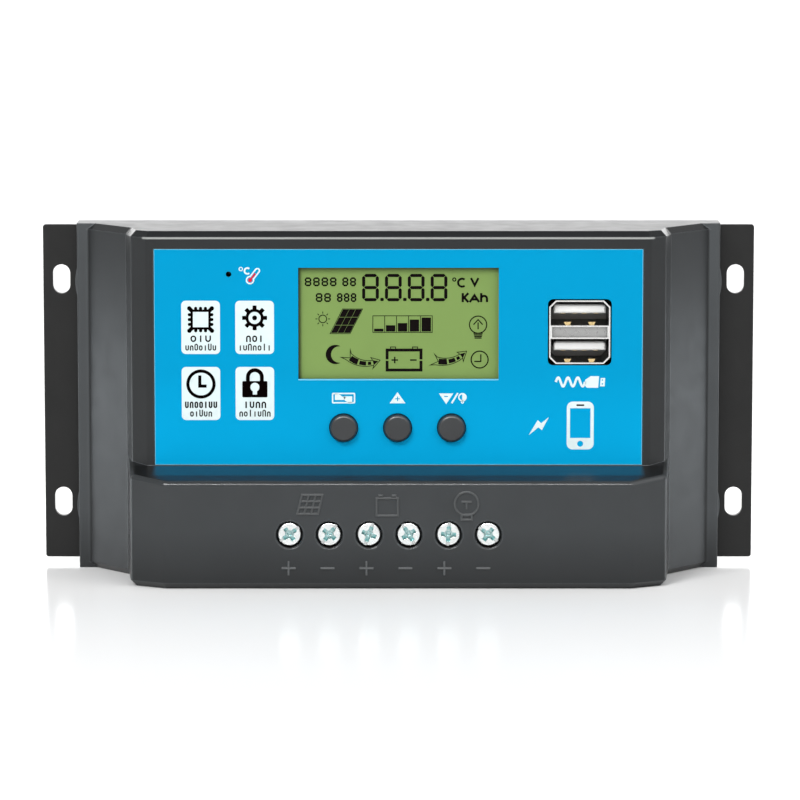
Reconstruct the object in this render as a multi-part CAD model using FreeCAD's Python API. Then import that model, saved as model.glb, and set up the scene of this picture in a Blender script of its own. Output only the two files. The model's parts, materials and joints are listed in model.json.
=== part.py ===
"""Wall-mounted solar charge controller, built as its separate pieces.

A black metal back plate with a slotted flange on each side carries the boards. A moulded
front case is screwed to it from behind. The case has a stepped front: a higher face with the
printed film, the display, three push buttons and a stacked pair of sockets, and below it a
deeper block that covers six screw terminals, whose wires enter from underneath.

Frame: millimetres, +X to the right as seen from the front, +Z up, the front faces -Y.
The origin is the centre of the bounding box's bottom. Depths (d) are measured from the wall.
"""

import FreeCAD
import Part

import math
import os

V = FreeCAD.Vector

# ---- driving dimensions, mm ----
overall_width = 156.0       # across the two flanges
overall_height = 76.0       # of the case
overall_depth = 36.0        # wall to the embossed signs
wall = 2.0                  # thickness of the moulded case
clearance = 0.1             # between parts that only sit together

# back plate
plate_thickness = 1.5
plate_bottom = 1.4
plate_top = 75.2
plate_corner = 0.6
slot_x = 74.0               # slot centres from the middle
slot_z = (13.8, 63.2)
slot_width = 3.8
slot_length = 6.4

# outline of the case: half widths and the depths at which they are reached
case_half_width = 70.2
brim_depth = 7.4
facet_foot = (67.8, 7.4)
facet_fillet = 1.2
facet_head = (58.8, 18.0)
upper_shoulder = (57.5, 23.7)
upper_front = (54.0, 26.3)
lower_shoulder = (57.5, 31.6)
lower_front = (50.0, 35.75)
end_chamfer = 1.3           # along the top and bottom outline of the raised part
step_foot = (26.3, 25.4)    # depth, height where the step leaves the upper face
step_head = (35.75, 23.2)   # depth, height where it reaches the lower face
step_round = 1.3
bulge_height = 0.4          # pads on the case's sides beside the slots
bulge_radius = 11.7
bulge_half_length = 4.0
brim_round = 0.5

# printed film and what shows through it
film_thickness = 0.3
film_recess = 0.4
film_half_width = 52.4
film_bottom = 25.6
film_top = 72.2
film_corner = 0.4
window = (-21.5, 21.5, 44.2, 68.2)          # x0, x1, z0, z1
sensor_x, sensor_z, sensor_hole_radius = -36.4, 66.8, 0.6
sensor_depth = 22.6         # middle of the bead
sensor_lead = 0.45          # leads on either side of the middle

# buttons
button_names = ("menu", "up", "down")
button_x = (-11.8, -0.2, 11.4)
button_z = 33.6
button_radius = 2.95
button_hole_radius = 3.15
button_proud = 1.4          # above the film
cap_back = 22.6             # where the cap's stem meets the plunger
switch_size = 6.0
switch_height = 3.5
switch_leg = (3.2, 2.2)     # legs from the switch's middle, across and up

# stacked sockets, standard type A
socket_x, socket_z = 38.9, 54.3
socket_opening = (12.5, 5.12)
socket_pitch = 8.0
socket_shell = 0.3
socket_corner = 1.4         # bevel of the shell's corners
socket_cutout_gap = 0.3
socket_cutout_radius = 1.15
tongue = (11.1, 1.84)       # width and thickness
tongue_drop = 0.74          # from the top of its opening
tongue_round = 0.6
contact_x = (-3.5, -1.0, 1.0, 3.5)

# boards, front faces and thickness
board_thickness = 1.6
power_board_back = 6.6
power_board = (-56.0, 56.0, 3.4, 72.2)
control_board_back = 16.8
control_board = (-46.0, 30.5, 28.6, 71.4)

# display stack
pin_count, pin_pitch = 20, 2.2
glass = (-24.0, 24.0, 41.2, 71.0)
glass_front = 25.0
glass_gap = 0.6             # around it, in its pocket in the case
glass_thickness = 2.0
light_guide_thickness = 2.6

# screw terminals
terminal_count = 6
terminal_pitch = 8.5
terminal_middle_x = -2.05
terminal_z = 11.85
terminal_hole_radius = 2.9
thread_radius = 1.45
thread_hole_radius = 1.5
screw_length = 12.0
screw_tip = 0.8
head_radius = 2.55
head_height = 2.9
head_underside = 32.3       # at rest, with the terminal open
head_turn = (-37.0, -52.0, -69.0, 58.0, -86.0, 37.0)   # degrees, as the screws were left
clamp_thickness = 1.2
clamp_half_width = 3.3
contact_depth = (24.5, 26.5)
contact_tail_z = (14.0, 14.6)
block_depth = 31.0
block_bottom, block_top = 2.3, 18.0
cell_half_width = 3.7
cell_top = 15.9
wire_gate = (3.4, 25.6, 31.6)               # half width, depth from and to, in the case's floor

emboss_height = 0.25
emboss_width = 0.34

# rear fasteners
boss_x = 60.4
boss_z = (7.5, 68.5)
boss_radius = 3.0
boss_front = 12.5
case_screw_head, case_screw_shank = 2.75, 1.25      # radii
case_screw_length = 9.4
spacer_x = 51.0
spacer_z = (7.6, 67.6)
spacer_radius = 2.9
spacer_root = 1.95          # radius where it is riveted into the plate
board_screw_head, board_screw_shank = 2.7, 1.35     # radii
transistor_x = (-45.0, -27.0, -9.0, 9.0, 27.0, 45.0)
transistor_z = 38.0         # middle of the plastic body
transistor_hole = 9.5       # above that, through the tab
transistor_screw = 1.45     # radius of its shank
transistor_leads = (-2.54, 0, 2.54)
tab_thickness = 1.3
pad_thickness = 0.5
peg_radius = 1.2
post_places = ((-36.0, 31.6), (18.0, 31.6), (-42.0, 68.4), (28.0, 68.4))

terminal_x = [
    terminal_middle_x + (i - (terminal_count - 1) / 2) * terminal_pitch
    for i in range(terminal_count)
]
through = 100.0             # long enough to cut through anything
socket_bevel = socket_corner - socket_shell / 2
socket_bevels = ((0, socket_bevel), (socket_bevel, 0))     # below and above, upper socket first
power_board_front = power_board_back + board_thickness
control_board_front = control_board_back + board_thickness
film_back = upper_front[1] - film_recess
film_front = film_back + film_thickness
parts = {}


# ---- helpers ----
def y_at(depth):
    """Row-frame Y of a depth measured from the wall."""
    return overall_depth / 2 - depth


def box(x0, x1, d0, d1, z0, z1):
    """A box between two widths, two depths and two heights."""
    return Part.makeBox(x1 - x0, d1 - d0, z1 - z0, V(x0, y_at(d1), z0))


def rod(x, z, radius, d0, d1):
    """A round bar along Y, from depth d0 out to depth d1."""
    return Part.makeCylinder(radius, d1 - d0, V(x, y_at(d0), z), V(0, -1, 0))


def cone(x, z, radius0, radius1, d0, d1):
    """A cone along Y, radius0 at depth d0 and radius1 at depth d1."""
    return Part.makeCone(radius0, radius1, d1 - d0, V(x, y_at(d0), z), V(0, -1, 0))


def tube(x, z, outer, inner, d0, d1):
    """A round tube along Y."""
    return rod(x, z, outer, d0, d1).cut(rod(x, z, inner, d0 - 1, d1 + 1))


def cross_drive(x, z, arm, half, d0, d1):
    """The two bars of a cross recess."""
    return [box(x - arm, x + arm, d0, d1, z - half, z + half),
            box(x - half, x + half, d0, d1, z - arm, z + arm)]


def fuse_all(shapes):
    """One solid from overlapping ones."""
    joined = shapes[0].multiFuse(shapes[1:]) if len(shapes) > 1 else shapes[0]
    return joined.removeSplitter()


def cut_all(shape, tools):
    """shape without each of the tools."""
    return shape.cut(Part.makeCompound(tools)) if tools else shape


def group(shapes):
    """Separate solids that share one node."""
    return Part.makeCompound(shapes)


def rounded_outline(points):
    """A closed wire in the XY plane through (x, y, radius) points, corners rounded by arcs."""
    edges, ends = [], []
    count = len(points)
    for i, (x, y, radius) in enumerate(points):
        here = V(x, y, 0)
        before = V(*points[i - 1][:2], 0) - here
        after = V(*points[(i + 1) % count][:2], 0) - here
        before.normalize()
        after.normalize()
        if not radius:
            ends.append((here, here, None))
            continue
        half = before.getAngle(after) / 2
        reach = radius / math.tan(half)
        bisector = before + after
        bisector.normalize()
        middle = here + bisector * (radius / math.sin(half) - radius)
        ends.append((here + before * reach, here + after * reach, middle))
    for i, (start, end, middle) in enumerate(ends):
        if middle is not None:
            edges.append(Part.Arc(start, middle, end).toShape())
        following = ends[(i + 1) % count][0]
        if (following - end).Length > 1e-6:
            edges.append(Part.LineSegment(end, following).toShape())
    return Part.Wire(edges)


def slab(points, d0, d1):
    """An upright outline of (x, z, radius) points, extruded along Y."""
    face = Part.Face(rounded_outline(points))
    face.rotate(V(0, 0, 0), V(1, 0, 0), 90)
    face.translate(V(0, y_at(d0), 0))
    return face.extrude(V(0, d0 - d1, 0))


def rounded_slab(x0, x1, d0, d1, z0, z1, radius):
    """A box whose four edges along Y are rounded."""
    corners = [(x0, z0, radius), (x1, z0, radius), (x1, z1, radius), (x0, z1, radius)]
    return slab(corners, d0, d1)


def at_height(wire, z):
    """A copy of a wire from the XY plane, at height z."""
    copy = wire.copy()
    copy.translate(V(0, 0, z))
    return copy


def mirrored(half_points):
    """Both sides of the case from its left half: (half width, depth, radius), back to front."""
    left = [(-x, y_at(d), r) for x, d, r in half_points]
    right = [(x, y_at(d), r) for x, d, r in reversed(half_points)]
    return left + right


def inset(points, distance, least_radius=0.0):
    """The same outline moved in by a distance, with its corner radii kept concentric."""
    moved = []
    for i, (x, y, radius) in enumerate(points):
        here = V(x, y, 0)
        before = here - V(*points[i - 1][:2], 0)
        after = V(*points[(i + 1) % len(points)][:2], 0) - here
        before.normalize()
        after.normalize()
        turn = before.x * after.y - before.y * after.x
        normals = [V(-v.y, v.x, 0) for v in (before, after)]
        shift = (normals[0] + normals[1]) * (distance / (1 + normals[0].dot(normals[1])))
        place = here + shift
        concave = turn < 0
        if radius:
            radius = radius + distance if concave else max(radius - distance, least_radius)
        moved.append((place.x, place.y, radius))
    return moved


def chamfered_prism(points, z0, z1, chamfer):
    """The outline extruded from z0 to z1, with its whole edge chamfered at both ends."""
    outer = rounded_outline(points)
    inner = rounded_outline(inset(points, chamfer, 0.15))
    middle = Part.Face(at_height(outer, z0 + chamfer)).extrude(V(0, 0, z1 - z0 - 2 * chamfer))
    bottom = Part.makeLoft([at_height(inner, z0), at_height(outer, z0 + chamfer)], True, True)
    top = Part.makeLoft([at_height(outer, z1 - chamfer), at_height(inner, z1)], True, True)
    return fuse_all([middle, bottom, top])


def below_step(margin):
    """Everything under the sloping step, moved in by a margin."""
    (d0, z0), (d1, z1) = step_foot, step_head
    length = math.hypot(d1 - d0, z1 - z0)
    slope = (z1 - z0) / (d1 - d0)
    drop = margin * length / (d1 - d0)
    near, far, half = -20.0, 60.0, 90.0

    def level(depth):
        return z0 + slope * (depth - d0) - drop

    corners = [(near, -5), (far, -5), (far, level(far)), (near, level(near)), (near, -5)]
    points = [V(-half, y_at(depth), z) for depth, z in corners]
    return Part.Face(Part.makePolygon(points)).extrude(V(2 * half, 0, 0))


# ---- back plate and what holds it ----
def make_back_plate():
    plate = box(-overall_width / 2, overall_width / 2, 0, plate_thickness, plate_bottom, plate_top)
    corners = [e for e in plate.Edges if abs(e.Length - plate_thickness) < 1e-6]
    plate = plate.makeFillet(plate_corner, corners)
    depths = (-1, plate_thickness + 1)
    half_width, half_length = slot_width / 2, slot_length / 2
    holes = []
    for side in (-1, 1):
        for z in slot_z:
            x = side * slot_x
            holes.append(rounded_slab(x - half_width, x + half_width, *depths, z - half_length,
                                      z + half_length, half_width - 1e-3))
        for z in boss_z:
            holes.append(rod(side * boss_x, z, case_screw_shank + 0.35, *depths))
            holes.append(cone(side * boss_x, z, case_screw_head + 0.15, case_screw_shank + 0.35,
                              0, 1.3))
        for z in spacer_z:
            holes.append(rod(side * spacer_x, z, spacer_root + 0.05, *depths))
    for x in transistor_x:
        holes.append(rod(x, transistor_z + transistor_hole, transistor_screw + 0.05, *depths))
    return cut_all(plate, holes)


def make_case_screws():
    screws = []
    for side in (-1, 1):
        for z in boss_z:
            x = side * boss_x
            tip_start = case_screw_length - 0.8
            head = cone(x, z, case_screw_head, case_screw_shank + 0.2, 0.05, 1.35)
            shank = rod(x, z, case_screw_shank, 0.05, tip_start)
            tip = cone(x, z, case_screw_shank, 0.5, tip_start, case_screw_length)
            drive = cross_drive(x, z, 1.5, 0.28, -1, 0.9)
            screws.append(cut_all(fuse_all([head, shank, tip]), drive))
    return group(screws)


# ---- front case ----
def case_outside():
    foot = facet_foot[0] + facet_fillet
    shared = [(foot, brim_depth - 2.4, 0), (foot, brim_depth, 0), (*facet_foot, facet_fillet)]
    upper = mirrored(shared + [(*facet_head, 0.8), (*upper_shoulder, 0.8), (*upper_front, 0.9)])
    lower = mirrored(shared + [(*facet_head, 0.8), (*lower_shoulder, 1.4), (*lower_front, 1.8)])
    tray = box(-case_half_width, case_half_width, 0, brim_depth, 0, overall_height)
    front_edges = [e for e in tray.Edges
                   if abs(e.BoundBox.YMin - y_at(brim_depth)) < 1e-6
                   and abs(e.BoundBox.YMax - y_at(brim_depth)) < 1e-6 and e.BoundBox.ZLength > 1]
    tray = tray.makeFillet(brim_round, front_edges)
    pads = []
    for side in (-1, 1):
        for z in slot_z:
            x = side * (case_half_width + bulge_height - bulge_radius)
            pad = rod(x, z, bulge_radius, plate_thickness, brim_depth - brim_round)
            keep = box(*sorted((side * facet_foot[0], side * slot_x)), 0, through,
                       z - bulge_half_length, z + bulge_half_length)
            pads.append(pad.common(keep))
    raised = chamfered_prism(upper, 0, overall_height, end_chamfer)
    block = chamfered_prism(lower, 0, overall_height, end_chamfer).common(below_step(0))
    rim = [e for e in block.Edges
           if e.BoundBox.YMax < y_at(upper_shoulder[1] + 1.5)
           and e.BoundBox.ZMin > step_head[1] - 0.5]
    block = block.makeFillet(step_round, rim)
    return fuse_all([tray, raised, block] + pads)


def case_cavity():
    """The hollow of the case, two millimetres inside its skin."""
    foot = facet_foot[0] + facet_fillet
    shared = [(foot, -2 * wall, 0), (foot, brim_depth, 0), (*facet_foot, 0)]
    ceiling = overall_height - 2 * wall
    upper = mirrored(shared + [(*facet_head, 0), (*upper_shoulder, 0), (*upper_front, 0)])
    lower = mirrored(shared + [(*facet_head, 0), (*lower_shoulder, 0), (*lower_front, 0)])
    hollow = []
    for points in (upper, lower):
        inner = rounded_outline(inset(points, wall))
        hollow.append(Part.Face(at_height(inner, wall)).extrude(V(0, 0, ceiling)))
    hollow[1] = hollow[1].common(below_step(wall))
    half = case_half_width - wall
    tray = box(-half, half, -1, brim_depth - wall, wall, overall_height - wall)
    return fuse_all(hollow + [tray])


def emboss_bar(x0, z0, x1, z1, width=emboss_width):
    """A raised stroke between two points on the lower face."""
    along = V(x1 - x0, 0, z1 - z0)
    length = along.Length
    bar = box(-width / 2, length + width / 2, lower_front[1] - 0.3,
              lower_front[1] + emboss_height, -width / 2, width / 2)
    angle = math.degrees(math.atan2(z1 - z0, x1 - x0))
    bar.rotate(V(0, 0, 0), V(0, -1, 0), angle)
    bar.translate(V(x0, 0, z0))
    return bar


def emboss_path(points, closed=True):
    ends = points[1:] + points[:1] if closed else points[1:]
    return [emboss_bar(*a, *b) for a, b in zip(points, ends)]


def case_signs():
    """Raised signs over the terminals: a panel, a battery, a lamp, and the polarity marks."""
    bars = []
    lean, width, tall = 1.0, 4.4, 4.1
    x0, z0 = -21.6, 16.35
    for i in range(4):
        share = i / 3
        bars += [emboss_bar(x0 + share * width, z0, x0 + share * width + lean, z0 + tall),
                 emboss_bar(x0 + share * lean, z0 + share * tall,
                            x0 + share * lean + width, z0 + share * tall)]
    x0, x1, z0, z1 = -4.66, -0.1, 16.0, 19.75
    bars += emboss_path([(x0, z0), (x1, z0), (x1, z1), (x0, z1)])
    for x in (x0 + 0.85, x1 - 0.85):
        bars += [emboss_bar(x - 0.3, z1 + 0.55, x + 0.3, z1 + 0.55)]
    lamp_x, lamp_z, lamp_radius = 14.55, 18.55, 2.7
    depths = (lower_front[1] - 0.3, lower_front[1] + emboss_height)
    ring = tube(lamp_x, lamp_z, lamp_radius, lamp_radius - emboss_width, *depths)
    bars += [ring] + emboss_path([(lamp_x - 1.1, 15.1), (lamp_x + 1.1, 15.1),
                                  (lamp_x + 1.1, 16.2), (lamp_x - 1.1, 16.2)])
    bars += [emboss_bar(lamp_x - 0.9, 18.95, lamp_x + 0.9, 18.95),
             emboss_bar(lamp_x, 17.55, lamp_x, 18.95)]
    arm, mark_z, mark_x, mark_pitch = 1.3, 4.6, terminal_x[0] - 0.2, 8.33
    for i in range(terminal_count):
        x = mark_x + i * mark_pitch
        bars.append(emboss_bar(x - arm, mark_z, x + arm, mark_z))
        if i % 2 == 0:
            bars.append(emboss_bar(x, mark_z - arm, x, mark_z + arm))
    return bars


def face_openings(window_margin):
    """What the case's upper face and the film leave open."""
    x0, x1, z0, z1 = window
    depths = (upper_front[1] - 6, upper_front[1] + 4)
    half_w = socket_opening[0] / 2 + socket_shell + socket_cutout_gap
    half_h = socket_pitch / 2 + socket_opening[1] / 2 + socket_shell + socket_cutout_gap
    openings = [
        box(x0 - window_margin, x1 + window_margin, *depths, z0 - window_margin,
            z1 + window_margin),
        rounded_slab(socket_x - half_w, socket_x + half_w, *depths, socket_z - half_h,
                     socket_z + half_h, socket_cutout_radius),
        rod(sensor_x, sensor_z, sensor_hole_radius, *depths),
    ]
    return openings + [rod(x, button_z, button_hole_radius, *depths) for x in button_x]


def make_front_case():
    front = lower_front[1] + 1
    tools = [
        case_cavity(),
        box(-through, through, -1, plate_thickness, plate_bottom - clearance,
            plate_top + clearance),
        box(-film_half_width - clearance, film_half_width + clearance, film_back,
            upper_front[1] + 4, film_bottom - clearance, film_top + clearance),
        box(glass[0] - glass_gap, glass[1] + glass_gap, glass_front - 5, glass_front + 0.05,
            glass[2] - glass_gap, glass[3] + glass_gap),
    ]
    tools += face_openings(clearance)
    edge = 0.25
    for x in terminal_x:
        tools.append(rod(x, terminal_z, terminal_hole_radius, front - 3 * wall, front))
        tools.append(cone(x, terminal_z, terminal_hole_radius, terminal_hole_radius + 2 * edge,
                          lower_front[1] - edge, lower_front[1] + edge))
    half, d0, d1 = wire_gate
    gates = [box(x - half, x + half, d0, d1, -1, wall + 1) for x in terminal_x]
    bosses = []
    for side in (-1, 1):
        for z in boss_z:
            x = side * boss_x
            boss = rod(x, z, boss_radius, plate_thickness, boss_front)
            bore = rod(x, z, case_screw_shank + 0.05, 0, boss_front - wall)
            bosses.append(boss.common(case_cavity()).cut(bore))
    collars = [tube(x, terminal_z, terminal_hole_radius + 0.8, terminal_hole_radius,
                    lower_front[1] - wall - 0.6, lower_front[1] - wall) for x in terminal_x]
    shell = cut_all(case_outside(), tools + gates)
    return fuse_all([shell] + bosses + collars + case_signs())


# ---- printed film and sensor ----
def make_film():
    film = rounded_slab(-film_half_width, film_half_width, film_back, film_front,
                        film_bottom, film_top, film_corner)
    return cut_all(film, face_openings(0))


def make_sensor():
    """A glass-bead thermistor behind its hole, on two leads from the control board."""
    bead_radius, neck_radius, lead_radius = 1.0, 0.75, 0.2
    neck_back = sensor_depth - 2.4
    bead = Part.makeSphere(bead_radius, V(sensor_x, y_at(sensor_depth), sensor_z))
    neck = rod(sensor_x, sensor_z, neck_radius, neck_back, sensor_depth)
    leads = [rod(sensor_x + side * sensor_lead, sensor_z, lead_radius, control_board_back - 0.8,
                 neck_back + 0.2) for side in (-1, 1)]
    return fuse_all([bead, neck] + leads)


# ---- buttons ----
def make_button_cap(x):
    top = film_front + button_proud
    flange_front = upper_front[1] - wall - 0.06
    cap = rod(x, button_z, button_radius, flange_front - 0.84, top)
    rim = [e for e in cap.Edges if abs(e.BoundBox.YMin - y_at(top)) < 1e-3
           and e.BoundBox.YLength < 1e-3]
    cap = cap.makeFillet(0.75, rim)
    flange = rod(x, button_z, button_radius + 0.95, flange_front - 0.94, flange_front)
    stem = rod(x, button_z, 1.6, cap_back, flange_front - 0.74)
    dish_radius, dish_depth = 28.0, 0.12
    dish = Part.makeSphere(dish_radius, V(x, y_at(top + dish_radius - dish_depth), button_z))
    return fuse_all([cap, flange, stem]).cut(dish)


def switch_legs():
    """Middles of the switches' legs, four to a switch."""
    across, up = switch_leg
    return [(x + side * across, button_z + end * up)
            for x in button_x for side in (-1, 1) for end in (-1, 1)]


def make_switch_body(x):
    half = switch_size / 2
    front = control_board_front + switch_height
    body = box(x - half, x + half, control_board_front, front, button_z - half, button_z + half)
    edges = [e for e in body.Edges if abs(e.Length - switch_height) < 1e-6]
    body = body.makeChamfer(0.4, edges)
    bore = rod(x, button_z, 1.8, control_board_front + 1.6, front + 1)
    legs = [box(leg_x - 0.2, leg_x + 0.2, control_board_back - 0.8, control_board_front + 1.2,
                z - 0.35, z + 0.35)
            for leg_x, z in switch_legs() if abs(leg_x - x) < switch_size]
    return fuse_all([body.cut(bore)] + legs)


def make_switch_plunger(x):
    return rod(x, button_z, 1.7, control_board_front + 2.2, cap_back)


# ---- stacked sockets ----
def socket_centres():
    return [socket_z + s * socket_pitch / 2 for s in (1, -1)]


def bevelled_box(half_w, z0, z1, d0, d1, low_bevel, high_bevel):
    """A box centred on the sockets, its lower and upper corners bevelled."""
    left, right = socket_x - half_w, socket_x + half_w
    points = [(left + low_bevel, z0, 0), (right - low_bevel, z0, 0)]
    if low_bevel:
        points.append((right, z0 + low_bevel, 0))
    points.append((right, z1 - high_bevel, 0))
    if high_bevel:
        points += [(right - high_bevel, z1, 0), (left + high_bevel, z1, 0)]
    points.append((left, z1 - high_bevel, 0))
    if low_bevel:
        points.append((left, z0 + low_bevel, 0))
    return slab(points, d0, d1)


def make_socket_shell():
    """Folded metal shell around both openings, with its springs and ground legs."""
    w, h = socket_opening
    half_w = w / 2 + socket_shell
    half_h = socket_pitch / 2 + h / 2 + socket_shell
    back, front = power_board_front + 0.1, film_front - 0.05
    shell = bevelled_box(half_w, socket_z - half_h, socket_z + half_h, back, front,
                         socket_corner, socket_corner)
    hollows = [bevelled_box(w / 2, z - h / 2, z + h / 2, back + socket_shell, front + 1, *bevels)
               for z, bevels in zip(socket_centres(), socket_bevels)]
    gap = socket_pitch - h - 2 * socket_shell
    bridge = box(socket_x - w / 2 + 0.3, socket_x + w / 2 - 0.3, front - 0.6, front + 1,
                 socket_z - gap / 2, socket_z + gap / 2)
    springs = []
    for z in socket_centres():
        for x in (socket_x - 2.6, socket_x + 2.6):
            springs.append(socket_spring(x, z - h / 2, front))
    legs = [box(*sorted((socket_x + s * half_w, socket_x + s * (half_w - socket_shell))),
                power_board_back - 1.2, back + 0.5, z - 0.8, z + 0.8)
            for s in (-1, 1) for z in socket_centres()]
    return fuse_all([cut_all(shell, hollows + [bridge])] + springs + legs)


def socket_spring(x, floor, front):
    """A leaf that rises from the floor of an opening and dips again, wider at its crest."""
    sunk, crest = floor - 0.1, floor + 0.75
    leaf = Part.Face(Part.makePolygon([
        V(0, y_at(front - 1.0), sunk), V(0, y_at(front - 2.5), crest),
        V(0, y_at(front - 2.9), crest), V(0, y_at(front - 6.0), sunk),
        V(0, y_at(front - 1.0), sunk)])).extrude(V(1.6, 0, 0))
    leaf.translate(V(x - 0.8, 0, 0))
    taper = slab([(x - 0.5, sunk, 0), (x + 0.5, sunk, 0), (x + 0.8, crest + 0.05, 0),
                  (x - 0.8, crest + 0.05, 0)], front - 7, front)
    return leaf.common(taper)


def tongue_heights(z):
    """Underside and top of the tongue in the opening centred at height z."""
    high = z + socket_opening[1] / 2 - tongue_drop
    return high - tongue[1], high


def make_socket_cores():
    """The two plastic cores, each a back block with the tongue that carries the contacts."""
    w, h = socket_opening
    back = power_board_front + 0.1 + socket_shell
    cores = []
    slack = 0.05
    for z, bevels in zip(socket_centres(), socket_bevels):
        block = bevelled_box(w / 2 - slack, z - h / 2 + slack, z + h / 2 - slack, back,
                             back + 6.0, *bevels)
        low, high = tongue_heights(z)
        half, tip = tongue[0] / 2, film_front - 1.2
        bar = box(socket_x - half, socket_x + half, back + 5.5, tip, low, high)
        bar = bar.makeFillet(tongue_round, [e for e in bar.Edges if e.BoundBox.YLength > 5
                                            and abs(e.BoundBox.ZMin - high) < 1e-6])
        bar = bar.makeChamfer(0.3, [e for e in bar.Edges
                                    if abs(e.BoundBox.YMax - y_at(tip)) < 1e-6])
        grooves = [box(socket_x + x - 0.6, socket_x + x + 0.6, back + 6.0, film_front - 1.7,
                       low - 1, low + 0.35) for x in contact_x]
        cores.append(cut_all(fuse_all([block, bar]), grooves))
    return group(cores)


def make_socket_contacts():
    """Four spring contacts under each tongue."""
    back = power_board_front + 0.1 + socket_shell
    contacts = []
    for z in socket_centres():
        low = tongue_heights(z)[0]
        for x in contact_x:
            contacts.append(box(socket_x + x - 0.5, socket_x + x + 0.5, back + 6.02,
                                film_front - 1.9, low - 0.12, low + 0.3))
    return group(contacts)


# ---- display ----
def make_glass():
    x0, x1, z0, z1 = glass
    return box(x0, x1, glass_front - glass_thickness, glass_front, z0, z1)


def make_light_guide():
    x0, x1, z0, z1 = glass
    front = glass_front - glass_thickness - 0.05
    return box(x0, x1, front - light_guide_thickness, front, z0 + 1.6, z1 - 1.6)


def make_display_frame():
    """A moulded frame that holds the glass over its light guide, standing on the board."""
    x0, x1, z0, z1 = glass
    rim = 1.5
    front = glass_front - 1.0
    floor = control_board_front + 0.8
    frame = box(x0 - rim, x1 + rim, control_board_front, front, z0 + 0.2, z1 + 0.3)
    pocket = box(x0 - 0.1, x1 + 0.1, floor, front + 1, z0 - 5, z1 + 5)
    ledges = [box(x0 - 0.1, x1 + 0.1, floor, glass_front - glass_thickness - 0.1, a, b)
              for a, b in ((z0 + 0.9, z0 + 1.5), (z1 - 1.5, z1 - 0.9))]
    return fuse_all([frame.cut(pocket)] + ledges)


def pin_places():
    """Middles of the display's pins, in one row."""
    middle = (glass[0] + glass[1]) / 2
    return [middle + (i - (pin_count - 1) / 2) * pin_pitch for i in range(pin_count)]


def make_display_pins():
    """The display's row of pins, clipped on its lower edge and soldered to the board."""
    foot = glass[2]
    return group([box(x - 0.25, x + 0.25, control_board_back - 0.6,
                      glass_front - glass_thickness + 0.6, foot - 0.35, foot - 0.05)
                  for x in pin_places()])


# ---- boards and what is on them ----
def make_power_board():
    x0, x1, z0, z1 = power_board
    board = box(x0, x1, power_board_back, power_board_front, z0, z1)
    depths = (power_board_back - 1, power_board_front + 1)
    holes = [rod(s * spacer_x, z, 1.6, *depths) for s in (-1, 1) for z in spacer_z]
    outer = socket_opening[0] / 2 + socket_shell + 0.1
    inner = socket_opening[0] / 2 - socket_shell - 0.1
    holes += [box(*sorted((socket_x + s * outer, socket_x + s * inner)), *depths,
                  z - 0.9, z + 0.9) for s in (-1, 1) for z in socket_centres()]
    holes += [rod(x + lead, transistor_z - 5.6, 0.65, *depths)
              for x in transistor_x for lead in transistor_leads]
    holes += [box(x - 1.0, x + 1.0, *depths, contact_tail_z[0] - 0.6, contact_tail_z[1])
              for x in terminal_x]
    return cut_all(board, holes)


def make_control_board():
    x0, x1, z0, z1 = control_board
    board = box(x0, x1, control_board_back, control_board_front, z0, z1)
    depths = (control_board_back - 1, control_board_front + 1)
    holes = [rod(sensor_x + side * sensor_lead, sensor_z, 0.35, *depths) for side in (-1, 1)]
    for x, z in switch_legs():
        holes.append(box(x - 0.3, x + 0.3, *depths, z - 0.45, z + 0.45))
    for x in pin_places():
        holes.append(box(x - 0.35, x + 0.35, *depths, glass[2] - 0.5, glass[2] + 0.1))
    holes += [rod(x, z, peg_radius + 0.1, *depths) for x, z in post_places]
    return cut_all(board, holes)


def make_board_posts():
    """Moulded pillars, each with a peg, that carry the control board over the power board."""
    posts = []
    for x, z in post_places:
        post = rod(x, z, 2.4, power_board_front, control_board_back)
        peg = rod(x, z, peg_radius, control_board_back - 0.5, control_board_front + 0.9)
        posts.append(fuse_all([post, peg]))
    return group(posts)


def make_board_header():
    """Two-row pin header that joins the boards."""
    x0, z0, pitch, columns = -27.5, 62.0, 2.54, 6
    half = 1.27
    body = box(x0 - half, x0 + (columns - 0.5) * pitch, power_board_front, control_board_back,
               z0 - half, z0 + 1.5 * pitch)
    return body


def make_chips():
    """The controller chip and two smaller ones, under the control board."""
    chips = [(-8.0, 50.0, 10.0, 10.0), (8.0, 58.0, 5.0, 6.2), (10.0, 47.0, 5.0, 6.2)]
    bodies = []
    for x, z, w, h in chips:
        body = box(x - w / 2, x + w / 2, control_board_back - 1.6, control_board_back - 0.1,
                   z - h / 2, z + h / 2)
        pads = box(x - w / 2 - 1.0, x + w / 2 + 1.0, control_board_back - 0.3,
                   control_board_back, z - h / 2 + 0.6, z + h / 2 - 0.6)
        bodies.append(fuse_all([body, pads]))
    return group(bodies)


def make_capacitors():
    cans = []
    for x, z, r, tall in ((-50.0, 56.0, 4.0, 11.5), (-50.0, 46.5, 4.0, 11.5),
                          (-50.0, 37.0, 4.0, 11.5), (51.5, 27.0, 4.0, 11.5),
                          (50.5, 42.0, 3.1, 9.0)):
        can = rod(x, z, r, power_board_front, power_board_front + tall)
        top = [e for e in can.Edges
               if abs(e.BoundBox.YMin - y_at(power_board_front + tall)) < 1e-3
               and e.BoundBox.YLength < 1e-3]
        can = can.makeFillet(0.5, top)
        vents = [box(x - r, x + r, power_board_front + tall - 0.15, 30, z - 0.15, z + 0.15),
                 box(x - 0.15, x + 0.15, power_board_front + tall - 0.15, 30, z - r, z + r)]
        cans.append(cut_all(can, vents))
    return group(cans)


def make_choke():
    """Ring choke of the socket supply."""
    ring = Part.makeTorus(4.2, 2.3, V(35.5, y_at(power_board_front + 2.4), 34.5), V(0, 1, 0))
    seat = tube(35.5, 34.5, 5.2, 3.2, power_board_front, power_board_front + 1.2)
    return fuse_all([ring, seat])


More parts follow.
